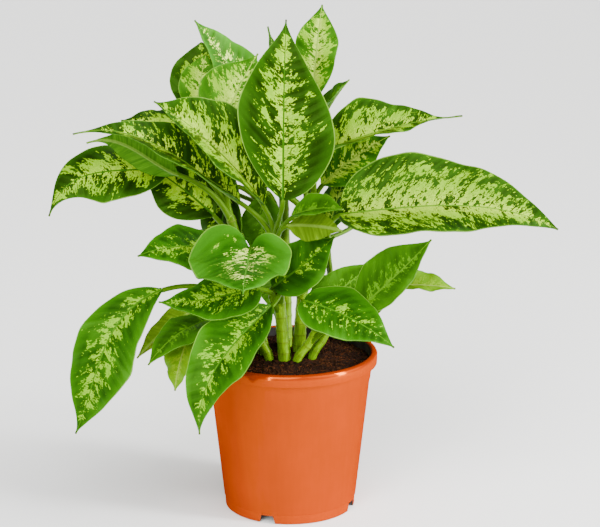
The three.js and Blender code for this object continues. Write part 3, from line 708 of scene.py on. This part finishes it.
# %% Roll a grid into a tube
def make_tube(name, centres, reference, radii, marks):
    """centres: the places along it. radii: one row for each place, round it from the reference side."""
    count, sides = radii.shape
    deselect_all()
    bpy.ops.mesh.primitive_grid_add(x_subdivisions=sides, y_subdivisions=count - 1, size=2)
    piece = bpy.context.object
    piece.name = piece.data.name = name
    grid = vertex_array(piece.data)
    column = np.rint((grid[:, 0] + 1) / 2 * sides).astype(int)
    row = np.rint((grid[:, 1] + 1) / 2 * (count - 1)).astype(int)
    along = unit(np.gradient(centres, axis=0))
    front = unit(reference - along * np.sum(reference * along, 1, keepdims=True))
    left = np.cross(along, front)
    angle = 2 * np.pi * column / sides
    radius = radii[row, column % sides]
    spoke = front[row] * np.cos(angle)[:, None] + left[row] * np.sin(angle)[:, None]
    set_vertices(piece.data, (centres[row] + spoke * radius[:, None]) * MM)
    run = np.r_[0, np.cumsum(np.linalg.norm(np.diff(centres, axis=0), axis=1))]
    store_vector(piece.data, "stem_place", np.stack([np.cos(angle) * 6, run[row], marks[row]], 1))
    bpy.ops.object.mode_set(mode="EDIT")
    bpy.ops.mesh.select_all(action="SELECT")
    bpy.ops.mesh.remove_doubles(threshold=0.01 * MM)
    bpy.ops.mesh.select_all(action="DESELECT")
    bpy.ops.mesh.select_mode(type="EDGE")
    bpy.ops.mesh.select_non_manifold()
    bpy.ops.mesh.fill_holes(sides=0)
    bpy.ops.mesh.select_all(action="SELECT")
    bpy.ops.mesh.fill_holes(sides=0)
    bpy.ops.mesh.normals_make_consistent(inside=False)
    bpy.ops.mesh.select_mode(type="VERT")
    bpy.ops.object.mode_set(mode="OBJECT")
    return piece


# %% One cane, with scar rings that sit closer together near its foot
CANE_SIDES, CANE_STEP = 28, 1.3  # faces round a cane, and the mm along it that each covers
FIRST_SCAR, LAST_SCAR = 35.0, 12  # mm from the foot of the cane, and from its top


def make_cane(name, cane):
    length = cane_path(cane)[1]
    centres, _ = cane_path(cane, count=max(60, round(length / CANE_STEP)))
    run = np.linspace(0, length, len(centres))
    scars = [FIRST_SCAR]
    while scars[-1] < length - LAST_SCAR:
        scars.append(scars[-1] + 9 + 0.06 * scars[-1])
    nearest = np.min(np.abs(run[:, None] - np.array(scars)), axis=1)
    taper = cane["radius"] * (1 - 0.25 * run / length)
    swollen = taper * (1 + 0.03 * np.exp(-((nearest / 4) ** 2)))
    swollen = swollen + 0.35 * np.exp(-((nearest / 0.9) ** 2))
    closing = np.sqrt(np.clip((length - run) / 4, 0.02, 1))
    theta = 2 * np.pi * np.arange(CANE_SIDES) / CANE_SIDES
    ribbed = 1 + 0.015 * np.cos(7 * theta) + 0.02 * np.cos(2 * theta)
    radii = (swollen * closing)[:, None] * ribbed[None, :]
    reference = np.tile([0.0, -1.0, 0.0], (len(centres), 1))
    return make_tube(name, centres, reference, radii, nearest)


# %% One leaf stalk, grooved on its upper side
STALK_SIDES = 20
SHEATH_RADIUS, STALK_RADIUS = 3.6, 2.3  # mm, at the cane and at the blade
STALK_MARK = 50.0  # stands where a cane has its distance in mm from a scar, so a stalk shows none


def make_stalk(name, leaf, cane):
    centres, length = cane_path(cane)
    index = int(np.argmin(np.abs(centres[:, 2] - leaf["height"])))
    start, along_cane = centres[index], unit(np.gradient(centres, axis=0))[index]
    points, side, _ = midrib_of(leaf)
    along = unit(points[1] - points[0])
    face = np.cross(side, along)
    end = points[0] + 3 * along - 1.5 * face
    reach = np.linalg.norm(points[0] - start)
    leaving = start + along_cane * leaf.get("rise", 0.4) * reach
    arriving = end - along * leaf.get("meet", 0.35) * reach
    count = max(26, round(reach / 2))
    t = np.linspace(0, 1, count)
    path, _ = bezier((start, leaving, arriving, end), t)
    sheath = min(SHEATH_RADIUS, cane["radius"] * 0.8)
    radius = sheath + (STALK_RADIUS - sheath) * np.minimum(1, 1.4 * t)
    radius = radius * np.sqrt(np.clip((1 - t) * reach / 3, 0.05, 1))
    theta = 2 * np.pi * np.arange(STALK_SIDES) / STALK_SIDES
    theta = np.where(theta > np.pi, theta - 2 * np.pi, theta)
    groove = 1 - 0.3 * np.exp(-((theta / 0.5) ** 2))
    groove = groove + 0.07 * np.exp(-(((np.abs(theta) - 0.95) / 0.35) ** 2))
    outward = (end - start) * [1, 1, 0]
    inward = -outward / max(np.linalg.norm(outward), 1e-6)
    reference = inward * (1 - t)[:, None] + face * t[:, None] + 0.15 * up_axis
    radii = radius[:, None] * groove[None, :]
    return make_tube(name, path, reference, radii, np.full(count, STALK_MARK))


# %% The material of canes and stalks
def stem_skin():
    """Smooth green skin with fine fibres along it, a waxy bloom, and thin brown leaf scars."""
    material, tree = new_material("fleshy_stem_skin")
    place = add(tree, "Attribute", attribute_name="stem_place").node.outputs["Vector"]
    _, along, scar_distance = add(tree, "SeparateXYZ", [place]).node.outputs
    fibres = add(tree, "VectorMath", [place, (1.6, 0.09, 0.0)], operation="MULTIPLY")
    fibres = add(tree, "TexNoise", {"Vector": fibres, "Scale": 1.0, "Detail": 3.0})
    local = add(tree, "TexCoord").node.outputs["Object"]
    cloud = add(tree, "TexNoise", {"Vector": local, "Scale": 45.0, "Detail": 2.0})
    both = add(tree, "Math", [fibres, cloud], operation="ADD")
    both = add(tree, "Math", [both, 0.5], operation="MULTIPLY")
    colour = ramp(tree, both, [(0.36, "#4E7400"), (0.5, "#6A9600"), (0.64, "#82B006")])
    # Painted shade: a cane is yellow-green at its foot and is darkened to a deeper green higher up,
    # where the leaves above shade it. The stalks are darkened the same way.
    on_stalk = add(tree, "MapRange", {
        "Value": scar_distance, "From Min": STALK_MARK - 10, "From Max": STALK_MARK - 1,
    })
    painted_upper_shade = add(tree, "MapRange", {"Value": along, "From Min": 80.0, "From Max": 150.0})
    painted_upper_shade = add(tree, "Math", [painted_upper_shade, on_stalk], operation="MAXIMUM")
    painted_upper_shade = add(tree, "Math", [painted_upper_shade, 0.85], operation="MULTIPLY")
    colour = add(tree, "Mix", {MIX_BY: painted_upper_shade, MIX_A: colour, MIX_B: linear("#2C5002")},
                 data_type="RGBA").node.outputs[MIXED]
    scar = add(tree, "MapRange", {
        "Value": scar_distance, "From Min": 1.1, "From Max": 0.3, "To Max": 0.6,
    })
    colour = add(tree, "Mix", {MIX_BY: scar, MIX_A: colour, MIX_B: linear("#55581C")},
                 data_type="RGBA").node.outputs[MIXED]
    relief = add(tree, "Bump", {"Height": fibres, "Strength": 0.5, "Distance": 0.3 * MM})
    skin = add(tree, "BsdfPrincipled", {
        "Base Color": colour, "Roughness": 0.42, "Normal": relief,
        "Specular IOR Level": 0.4, "Specular Tint": (0.5, 0.8, 0.1, 1.0),
    })
    add(tree, "OutputMaterial", [skin])
    return material


STEM = stem_skin()

# %% Helpers that join or cut a piece with a collection of others
def new_collection(name):
    collection = bpy.data.collections.new(name)
    bpy.context.scene.collection.children.link(collection)
    return collection


def put_in(collection, piece):
    """Moves a piece from where it is to the collection."""
    for owner in list(piece.users_collection):
        owner.objects.unlink(piece)
    collection.objects.link(piece)


def apply_boolean(piece, operation, others, use_self=False):
    """Uses up all the pieces of the collection, and deletes them and it."""
    deselect_all()
    bpy.context.view_layer.objects.active = piece
    piece.select_set(True)
    modifier = piece.modifiers.new("Boolean", "BOOLEAN")
    modifier.operation = operation
    modifier.operand_type = "COLLECTION"
    modifier.collection = others
    modifier.solver = "EXACT"
    modifier.use_self = use_self
    bpy.ops.object.modifier_apply(modifier=modifier.name)
    for other in list(others.objects):
        bpy.data.objects.remove(other)
    bpy.data.collections.remove(others)


# %% Give a union the values of the pieces that it is made of
def value_finder(pieces):
    """The union mixes up the values of its pieces, so each vertex is looked up where it was before."""
    finder = KDTree(sum(len(piece.data.vertices) for piece in pieces))
    values = []
    for piece in pieces:
        for vertex, value in zip(piece.data.vertices, piece.data.attributes["stem_place"].data):
            finder.insert(vertex.co, len(values))
            values.append(tuple(value.vector))
    finder.balance()
    return finder, values


# %% Make the canes with their stalks
for name, cane in CANES.items():
    trunk = make_cane(name.replace("cane_", "stem_"), cane)
    stalks = new_collection(name + "_stalks")
    for leaf_name, leaf in LEAVES.items():
        if leaf["cane"] == name:
            put_in(stalks, make_stalk("stalk_" + leaf_name, leaf, cane))
    finder, values = value_finder([trunk, *stalks.objects])
    apply_boolean(trunk, "UNION", stalks, use_self=True)
    trunk.data.attributes.remove(trunk.data.attributes["stem_place"])
    found = [values[finder.find(vertex.co)[1]] for vertex in trunk.data.vertices]
    store_vector(trunk.data, "stem_place", found)
    bpy.ops.object.shade_smooth_by_angle(angle=math.radians(60))
    trunk.data.materials.append(STEM)
    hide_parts(name)
    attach(trunk, "root")
    print(trunk.name, len(trunk.data.polygons), "faces")

# %% [markdown]
# ## The pot
# A growers' pot is moulded from polypropylene in one shot. It has a rolled rim that stiffens it, a
# faint stacking shoulder below, a slight taper so that it leaves the mould, and a foot ring with
# notches that let the water out. A thin round moulding is built as on a wheel: a circle is drawn
# for the middle of the base, and its edge is extruded and scaled from point to point of the profile.

# %% The pot's profile
# All in mm: heights from the ground, and radii of the outside.
POT_HEIGHT, RIM_RADIUS = 156.0, 85.0
FOOT_HEIGHT, FOOT_RADIUS = 10, 63.4
WALL = 1.6
LIP = POT_HEIGHT - 11  # the lower edge of the rolled rim
SHOULDER = POT_HEIGHT - 26
BODY_FOOT_RADIUS, BODY_TOP_RADIUS = 64.6, 79.5
PAD_RADIUS = 46.0  # of the flat pad in the middle, which stands on the ground
CHANNEL = 7.5  # how far the drain channel round the pad is raised
FLOOR = CHANNEL + WALL


def body_radius(height):
    """The outside of the plain wall, which runs straight from the foot to the lip."""
    share = (BODY_TOP_RADIUS - BODY_FOOT_RADIUS) * (height - FOOT_HEIGHT) / (LIP - FOOT_HEIGHT)
    return BODY_FOOT_RADIUS + share


POT_PROFILE = [
    (PAD_RADIUS, 0), (PAD_RADIUS + 3, CHANNEL), (FOOT_RADIUS - WALL - 1, CHANNEL),
    (FOOT_RADIUS - WALL - 0.4, 0), (FOOT_RADIUS, 0), (FOOT_RADIUS + 0.4, FOOT_HEIGHT - 1),
    (BODY_FOOT_RADIUS, FOOT_HEIGHT),
    (body_radius(SHOULDER - 1), SHOULDER - 1), (body_radius(SHOULDER) + 0.5, SHOULDER),
    (body_radius(LIP) + 0.5, LIP), (body_radius(LIP) + 0.8, POT_HEIGHT - 4),
    (RIM_RADIUS - WALL - 0.6, POT_HEIGHT - 3.6), (RIM_RADIUS - WALL - 0.5, LIP),
    (RIM_RADIUS - 0.3, LIP), (RIM_RADIUS, POT_HEIGHT - 3),
    (RIM_RADIUS - 0.9, POT_HEIGHT - 0.9), (RIM_RADIUS - 3, POT_HEIGHT),
    (body_radius(POT_HEIGHT) - 0.6, POT_HEIGHT), (body_radius(POT_HEIGHT) - 1.6, POT_HEIGHT - 1.2),
    (body_radius(LIP) - WALL + 0.4, LIP), (body_radius(FLOOR) - WALL, FLOOR),
    (PAD_RADIUS + 1.6, FLOOR), (PAD_RADIUS - 1, WALL),
]

# %% Helpers for a sheet that grows from its edge
def select_open_edge():
    bpy.ops.object.mode_set(mode="EDIT")
    bpy.ops.mesh.select_all(action="DESELECT")
    bpy.ops.mesh.select_mode(type="EDGE")
    bpy.ops.mesh.select_non_manifold()


def close_last_ring():
    """Fills the ring that is selected, turns every face outward and leaves edit mode."""
    bpy.ops.mesh.edge_face_add()
    bpy.ops.mesh.select_all(action="SELECT")
    bpy.ops.mesh.normals_make_consistent(inside=False)
    bpy.ops.mesh.select_mode(type="VERT")
    bpy.ops.object.mode_set(mode="OBJECT")


# %% Raise the pot ring by ring
POT_SIDES = 160

deselect_all()
radius, height = POT_PROFILE[0]
bpy.ops.mesh.primitive_circle_add(
    vertices=POT_SIDES, radius=radius * MM, fill_type="TRIFAN", location=(0, 0, 0)
)
pot = bpy.context.object
pot.name = pot.data.name = "growers_pot"
select_open_edge()
for next_radius, next_height in POT_PROFILE[1:]:
    rise = (0, 0, (next_height - height) * MM)
    bpy.ops.mesh.extrude_region_move(TRANSFORM_OT_translate={"value": rise})
    scale = next_radius / radius
    bpy.ops.transform.resize(value=(scale, scale, 1), center_override=(0, 0, 0))
    radius, height = next_radius, next_height
close_last_ring()
print("pot:", len(pot.data.polygons), "faces before the notches")


# %% Cut the notches and the drain holes
NOTCH_ANGLES = (-110, -20, 70, 160)  # degrees round the pot
NOTCH_SIZE = (9, 16, CHANNEL + 1)  # mm outward, along the foot ring and in height
DRAIN_SIZE = (9, 9, 4)
NOTCH_PLACE = (FOOT_RADIUS - 1.5, 0, (CHANNEL - 1) / 2)
DRAIN_PLACE = (FOOT_RADIUS - WALL - 3 - DRAIN_SIZE[0] / 2, 0, CHANNEL + 0.8)


def make_cutter(size, place, angle, top_share=1.0):
    """A box, turned about the pot's axis. top_share is how wide its top is."""
    deselect_all()
    bpy.ops.mesh.primitive_cube_add(size=1, location=(0, 0, 0))
    cutter = bpy.context.object
    places = vertex_array(cutter.data) * size
    places[places[:, 2] > 0, 1] *= top_share
    places += place
    c, s = math.cos(math.radians(angle)), math.sin(math.radians(angle))
    spin = np.array([[c, s, 0], [-s, c, 0], [0, 0, 1]])
    set_vertices(cutter.data, places @ spin * MM)
    return cutter


cutters = new_collection("pot_cutters")
for angle in NOTCH_ANGLES:
    notch = make_cutter(NOTCH_SIZE, NOTCH_PLACE, angle, top_share=0.75)
    drain = make_cutter(DRAIN_SIZE, DRAIN_PLACE, angle)
    for cutter in (notch, drain):
        put_in(cutters, cutter)
apply_boolean(pot, "DIFFERENCE", cutters)
soften = pot.modifiers.new("Soften", "BEVEL")
soften.width = 0.35 * MM
soften.segments = 2
soften.limit_method = "ANGLE"
soften.angle_limit = math.radians(40)
bpy.ops.object.modifier_apply(modifier=soften.name)
bpy.ops.object.shade_smooth_by_angle(angle=math.radians(35))
print("pot:", len(pot.data.polygons), "faces")


# %% The pot's plastic
def moulded_plastic():
    """Polypropylene from a polished mould: glossy but never mirror-like, with faint flow lines."""
    material, tree = new_material("moulded_polypropylene_terracotta")
    local = add(tree, "TexCoord").node.outputs["Object"]
    # Flow lines run up the wall, so the noise is stretched in height: 4 mm wide and 80 mm long.
    stretched = add(tree, "Mapping", {"Vector": local, "Scale": (250.0, 250.0, 12.0)})
    flow = add(tree, "TexNoise", {"Vector": stretched, "Scale": 1.0, "Detail": 2.0})
    cloud = add(tree, "TexNoise", {"Vector": local, "Scale": 22.0, "Detail": 3.0})
    both = add(tree, "Math", [flow, 0.4, cloud], operation="MULTIPLY_ADD")
    colour = ramp(tree, both, [(0.45, "#822700"), (0.7, "#882900"), (0.95, "#8E2B00")])
    scuffs = add(tree, "TexNoise", {"Vector": stretched, "Scale": 0.4, "Detail": 3.0, "Roughness": 0.6})
    dull = add(tree, "MapRange", {
        "Value": scuffs, "From Min": 0.3, "From Max": 0.7, "To Min": 0.08, "To Max": 0.14,
    })
    relief = add(tree, "Bump", {"Height": both, "Strength": 0.1, "Distance": 0.3 * MM})
    # The wall has no white sheen, even at its sides: what it reflects comes from an orange gloss.
    wall = add(tree, "BsdfPrincipled", {
        "Base Color": colour, "Roughness": 0.5, "Normal": relief, "Specular IOR Level": 0.0,
    })
    shine = add(tree, "BsdfAnisotropic", {
        "Color": linear("#FF7A1C"), "Roughness": dull, "Normal": relief,
    })
    plastic = add(tree, "MixShader", [0.12, wall, shine])
    add(tree, "OutputMaterial", [plastic])
    return material


def inner_plastic():
    """Black plastic, dull where soil has rubbed it."""
    material, tree = new_material("moulded_polypropylene_black")
    local = add(tree, "TexCoord").node.outputs["Object"]
    dust = add(tree, "TexNoise", {"Vector": local, "Scale": 90.0, "Detail": 4.0})
    colour = ramp(tree, dust, [(0.4, "#120F0D"), (0.75, "#2C231C")])
    dull = add(tree, "MapRange", {
        "Value": dust, "From Min": 0.3, "From Max": 0.7, "To Min": 0.45, "To Max": 0.7,
    })
    plastic = add(tree, "BsdfPrincipled", {"Base Color": colour, "Roughness": dull, "IOR": 1.49})
    add(tree, "OutputMaterial", [plastic])
    return material


# %% Orange outside, black inside and below
pot.data.materials.append(moulded_plastic())
pot.data.materials.append(inner_plastic())
for polygon in pot.data.polygons:
    x, y, z = (c / MM for c in polygon.center)
    facing_in = polygon.normal.x * x + polygon.normal.y * y < -0.2
    inside = facing_in and z < POT_HEIGHT - 1.5 and math.hypot(x, y) < body_radius(z) + 0.2
    below = z < CHANNEL + 1 and math.hypot(x, y) < FOOT_RADIUS - 0.8
    on_floor = math.hypot(x, y) < body_radius(z) - 0.9 and z < 20
    polygon.material_index = 1 if inside or below or on_floor else 0
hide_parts("pot")
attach(pot, "root")

# %% [markdown]
# ## The soil
# Potting soil here is moist peat: dark crumbs with red-brown fibres. Its surface is heaped a little in
# the middle and settled at the wall. A flat grid is pressed into a disc and pushed up and down by
# layers of noise, then its edge is drawn down inside the pot. Crumbs and fibres lie on top as pieces
# of their own, because their small shadows are what makes soil look loose.

# %% The heaped surface
SOIL_WALL = 146.0  # mm, the height of the soil at the wall
SOIL_GAP, SOIL_LIFT = 0.5, 0.4  # mm between the peat and the pot's wall, and its floor
SOIL_RADIUS = body_radius(SOIL_WALL) - WALL - SOIL_GAP
SOIL_CELLS = 130  # along each side of the grid
rng = random.Random(4)


def soil_height(x, y):
    """The height in mm of the soil at a place in mm."""
    r = math.hypot(x, y)
    heap = np.interp(
        r, [0, 34, 60, SOIL_RADIUS], [SOIL_CROWN, SOIL_CROWN - 1, SOIL_WALL + 1.5, SOIL_WALL]
    )
    rough = 1.6 * noise.noise((x / 14, y / 14, 3.0)) + 0.9 * noise.noise((x / 5, y / 5, 7.0))
    rough += 0.6 * noise.noise((x / 2.2, y / 2.2, 11.0))
    return heap + rough


deselect_all()
bpy.ops.mesh.primitive_grid_add(x_subdivisions=SOIL_CELLS, y_subdivisions=SOIL_CELLS, size=2)
soil = bpy.context.object
soil.name = soil.data.name = "peat_soil"
grid = vertex_array(soil.data)
gx, gy = grid[:, 0], grid[:, 1]
disc_x = gx * np.sqrt(1 - gy**2 / 2) * SOIL_RADIUS
disc_y = gy * np.sqrt(1 - gx**2 / 2) * SOIL_RADIUS
heights = np.array([soil_height(x, y) for x, y in zip(disc_x, disc_y)])
set_vertices(soil.data, np.stack([disc_x, disc_y, heights], 1) * MM)
print("soil surface:", len(soil.data.polygons), "faces")

# %% Draw its edge down inside the pot
SOIL_RINGS = [
    (body_radius(FLOOR) - WALL - SOIL_GAP, FLOOR + SOIL_LIFT),
    (PAD_RADIUS + 1, FLOOR + SOIL_LIFT),
    (PAD_RADIUS - 1.5, WALL + SOIL_LIFT),
]
select_open_edge()
for drop_radius, drop_height in SOIL_RINGS:
    bpy.ops.mesh.extrude_region_move(TRANSFORM_OT_translate={"value": (0, 0, 0)})
    bpy.ops.object.mode_set(mode="OBJECT")
    places = vertex_array(soil.data)
    chosen = selected_vertices(soil.data)
    ring = unit(places[chosen] * [1, 1, 0]) * drop_radius * MM
    ring[:, 2] = drop_height * MM
    places[chosen] = ring
    set_vertices(soil.data, places)
    bpy.ops.object.mode_set(mode="EDIT")
close_last_ring()
bpy.ops.object.shade_smooth()
print("soil:", len(soil.data.polygons), "faces")


# %% The material of the peat
def peat(name, dark, middle, light):
    """Moist peat: near black when wet, red-brown where it dries, and fully rough."""
    material, tree = new_material(name)
    local = add(tree, "TexCoord").node.outputs["Object"]
    crumbs = add(tree, "TexNoise", {"Vector": local, "Scale": 420.0, "Detail": 5.0, "Roughness": 0.7})
    damp = add(tree, "TexNoise", {"Vector": local, "Scale": 40.0, "Detail": 2.0})
    both = add(tree, "Math", [damp, 0.5, crumbs], operation="MULTIPLY_ADD")
    colour = ramp(tree, both, [(0.55, dark), (0.78, middle), (0.98, light)])
    relief = add(tree, "Bump", {"Height": crumbs, "Strength": 0.9, "Distance": 1.2 * MM})
    earth = add(tree, "BsdfPrincipled", {
        "Base Color": colour, "Roughness": 0.92, "Normal": relief, "Specular IOR Level": 0.08,
    })
    add(tree, "OutputMaterial", [earth])
    return material


soil.data.materials.append(peat("moist_peat", "#100703", "#211008", "#44210D"))
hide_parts("soil")
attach(soil, "root")


# %% Helpers that scatter copies on the soil
def clear_of_canes(x, y, margin):
    return all(
        math.hypot(x - cane["foot"][0], y - cane["foot"][1]) > cane["radius"] + margin
        for cane in CANES.values()
    )


def scatter(count, reach, margin):
    """Seeded places on the soil, in mm, that miss the canes."""
    found = []
    while len(found) < count:
        r, a = reach * math.sqrt(rng.random()), rng.uniform(0, 2 * math.pi)
        x, y = r * math.cos(a), r * math.sin(a)
        if clear_of_canes(x, y, margin):
            found.append((x, y))
    return found


def join_copies(name, model, copies):
    """Copies of a small model, each with its own vertices, as one piece."""
    shape = vertex_array(model.data)
    polygons = [tuple(p.vertices) for p in model.data.polygons]
    places, faces = [], []
    for transform, offset in copies:
        start = len(places) * len(shape)
        places.append(shape @ transform.T + offset)
        faces += [tuple(i + start for i in p) for p in polygons]
    mesh = bpy.data.meshes.new(name)
    mesh.from_pydata(np.vstack(places) * MM, [], faces)
    piece = bpy.data.objects.new(name, mesh)
    bpy.context.scene.collection.objects.link(piece)
    bpy.data.objects.remove(model)
    return piece


def random_turn():
    turn = np.linalg.qr(np.array([rng.gauss(0, 1) for _ in range(9)]).reshape(3, 3))[0]
    return turn if np.linalg.det(turn) > 0 else -turn


# %% Crumbs
CRUMBS = 1500

deselect_all()
bpy.ops.mesh.primitive_ico_sphere_add(subdivisions=1, radius=1)
crumb_model = bpy.context.object
bpy.ops.object.mode_set(mode="EDIT")
bpy.ops.mesh.select_all(action="SELECT")
bpy.ops.transform.vertex_random(offset=0.35, seed=5)
bpy.ops.object.mode_set(mode="OBJECT")
copies = []
for x, y in scatter(CRUMBS, SOIL_RADIUS - 2, 1.0):
    size = rng.uniform(0.5, 1.5) * (1.5 if rng.random() < 0.08 else 1)
    turn = random_turn()
    stretch = np.diag([rng.uniform(0.7, 1.3) * size for _ in range(3)])
    copies.append((turn @ stretch, (x, y, soil_height(x, y) + 0.15 * size)))
crumbs = join_copies("peat_crumbs", crumb_model, copies)
crumbs.data.materials.append(peat("peat_crumb", "#170B05", "#2B170B", "#4E2C14"))
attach(crumbs, "root")
print("crumbs:", len(crumbs.data.polygons), "faces")

# %% Fibres, each a thin stick with two joints, bent and laid flat
FIBRES = 420
FIBRE_RADIUS, FIBRE_LENGTH, FIBRE_JOINT = 0.16, 8, 1.4  # mm, the last one from the middle

deselect_all()
bpy.ops.mesh.primitive_cylinder_add(vertices=3, radius=FIBRE_RADIUS, depth=FIBRE_LENGTH)
fibre_model = bpy.context.object
bpy.ops.object.mode_set(mode="EDIT")
for joint in (FIBRE_JOINT, -FIBRE_JOINT):
    bpy.ops.mesh.select_all(action="SELECT")
    bpy.ops.mesh.bisect(plane_co=(0, 0, joint), plane_no=(0, 0, 1))
bpy.ops.object.mode_set(mode="OBJECT")
bent = vertex_array(fibre_model.data)
bent[:, 0] += 0.06 * bent[:, 2] ** 2
set_vertices(fibre_model.data, bent)
copies = []
for x, y in scatter(FIBRES, SOIL_RADIUS - 5, 5.0):
    heading, tilt, size = rng.uniform(0, 2 * math.pi), rng.uniform(-0.25, 0.25), rng.uniform(0.5, 1.2)
    c, s = math.cos(heading), math.sin(heading)
    lay = np.array([[0, -s, c], [0, c, s], [-1, 0, tilt]]) * size
    copies.append((lay, (x, y, soil_height(x, y) + 0.7)))
fibres = join_copies("peat_fibres", fibre_model, copies)
fibres.data.materials.append(peat("peat_fibre", "#3C1C0A", "#663616", "#8A5430"))
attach(fibres, "root")
print("fibres:", len(fibres.data.polygons), "faces")

# %% [markdown]
# ## The studio
# The plant stands on a plain pale floor in soft light. Two wide suns stand for large windows, one at
# the right and one in front, and the pale surroundings fill the shadows. A tall strip at the right and
# a thin one at the front left draw the light lines on the pot. The camera stands two metres in front,
# a little above the leaves, and looks down at them.

# %% Floor
deselect_all()
bpy.ops.mesh.primitive_plane_add(size=12, location=(0, 0, -0.0005))
floor = bpy.context.object
floor.name = "studio_floor"
material, tree = new_material("studio_paper")
paper = add(tree, "BsdfPrincipled", {"Base Color": linear("#F4F4F2"), "Roughness": 0.9})
add(tree, "OutputMaterial", [paper])
floor.data.materials.append(material)

# %% Lights
world = bpy.data.worlds.new("studio")
bpy.context.scene.world = world
world.use_nodes = True
background = next(n for n in world.node_tree.nodes if n.type == "BACKGROUND")
background.inputs["Color"].default_value = linear("#FFFFFF")
background.inputs["Strength"].default_value = 0.3


AIM = (0, 0, 0.2)  # metres, a point inside the plant


def hang(light, heading, place=(0, 0, 0)):
    """Puts a light in the scene, looking along the heading."""
    lamp = bpy.data.objects.new(light.name, light)
    bpy.context.scene.collection.objects.link(lamp)
    lamp.location = place
    lamp.rotation_euler = Vector(heading).to_track_quat("-Z", "Y").to_euler()


def soft_box(name, place, size, watts):
    """An area light that looks at the plant."""
    light = bpy.data.lights.new(name, "AREA")
    light.shape = "RECTANGLE"
    light.size, light.size_y = size
    light.energy = watts
    hang(light, np.array(AIM) - np.array(place), place)


def soft_sun(name, heading, strength, spread):
    """Even light from far away. spread is how wide its source looks, in degrees."""
    light = bpy.data.lights.new(name, "SUN")
    light.energy = strength
    light.angle = math.radians(spread)
    hang(light, heading)


soft_box("right_strip", (1.6, -0.6, 0.7), (0.35, 1.3), 75)
soft_box("front_strip", (-0.75, -1.6, 0.6), (0.06, 1.3), 12)
soft_sun("side_window", (-1.2, 0.35, -1.1), 4.7, 80)
soft_sun("front_window", (0.35, 1.3, -1.0), 5.0, 50)
print("lights:", len(bpy.data.lights))

# %% Camera
FRAME_WIDTH = 600  # pixels
FOCAL_PIXELS = 2161.3  # fitted to the pot's rim, foot and sides in that frame
SENSOR_WIDTH = 36  # mm
CAMERA_PLACE = (0.0099, -2.0, 0.7884)
CAMERA_TILT = 15.27  # degrees below level

camera_data = bpy.data.cameras.new("camera")
camera_data.sensor_width = SENSOR_WIDTH
camera_data.lens = FOCAL_PIXELS * SENSOR_WIDTH / FRAME_WIDTH
camera = bpy.data.objects.new("camera", camera_data)
bpy.context.scene.collection.objects.link(camera)
camera.location = CAMERA_PLACE
camera.rotation_euler = (math.radians(90 - CAMERA_TILT), 0, 0)
bpy.context.scene.camera = camera
print("lens:", round(camera_data.lens, 1), "mm")
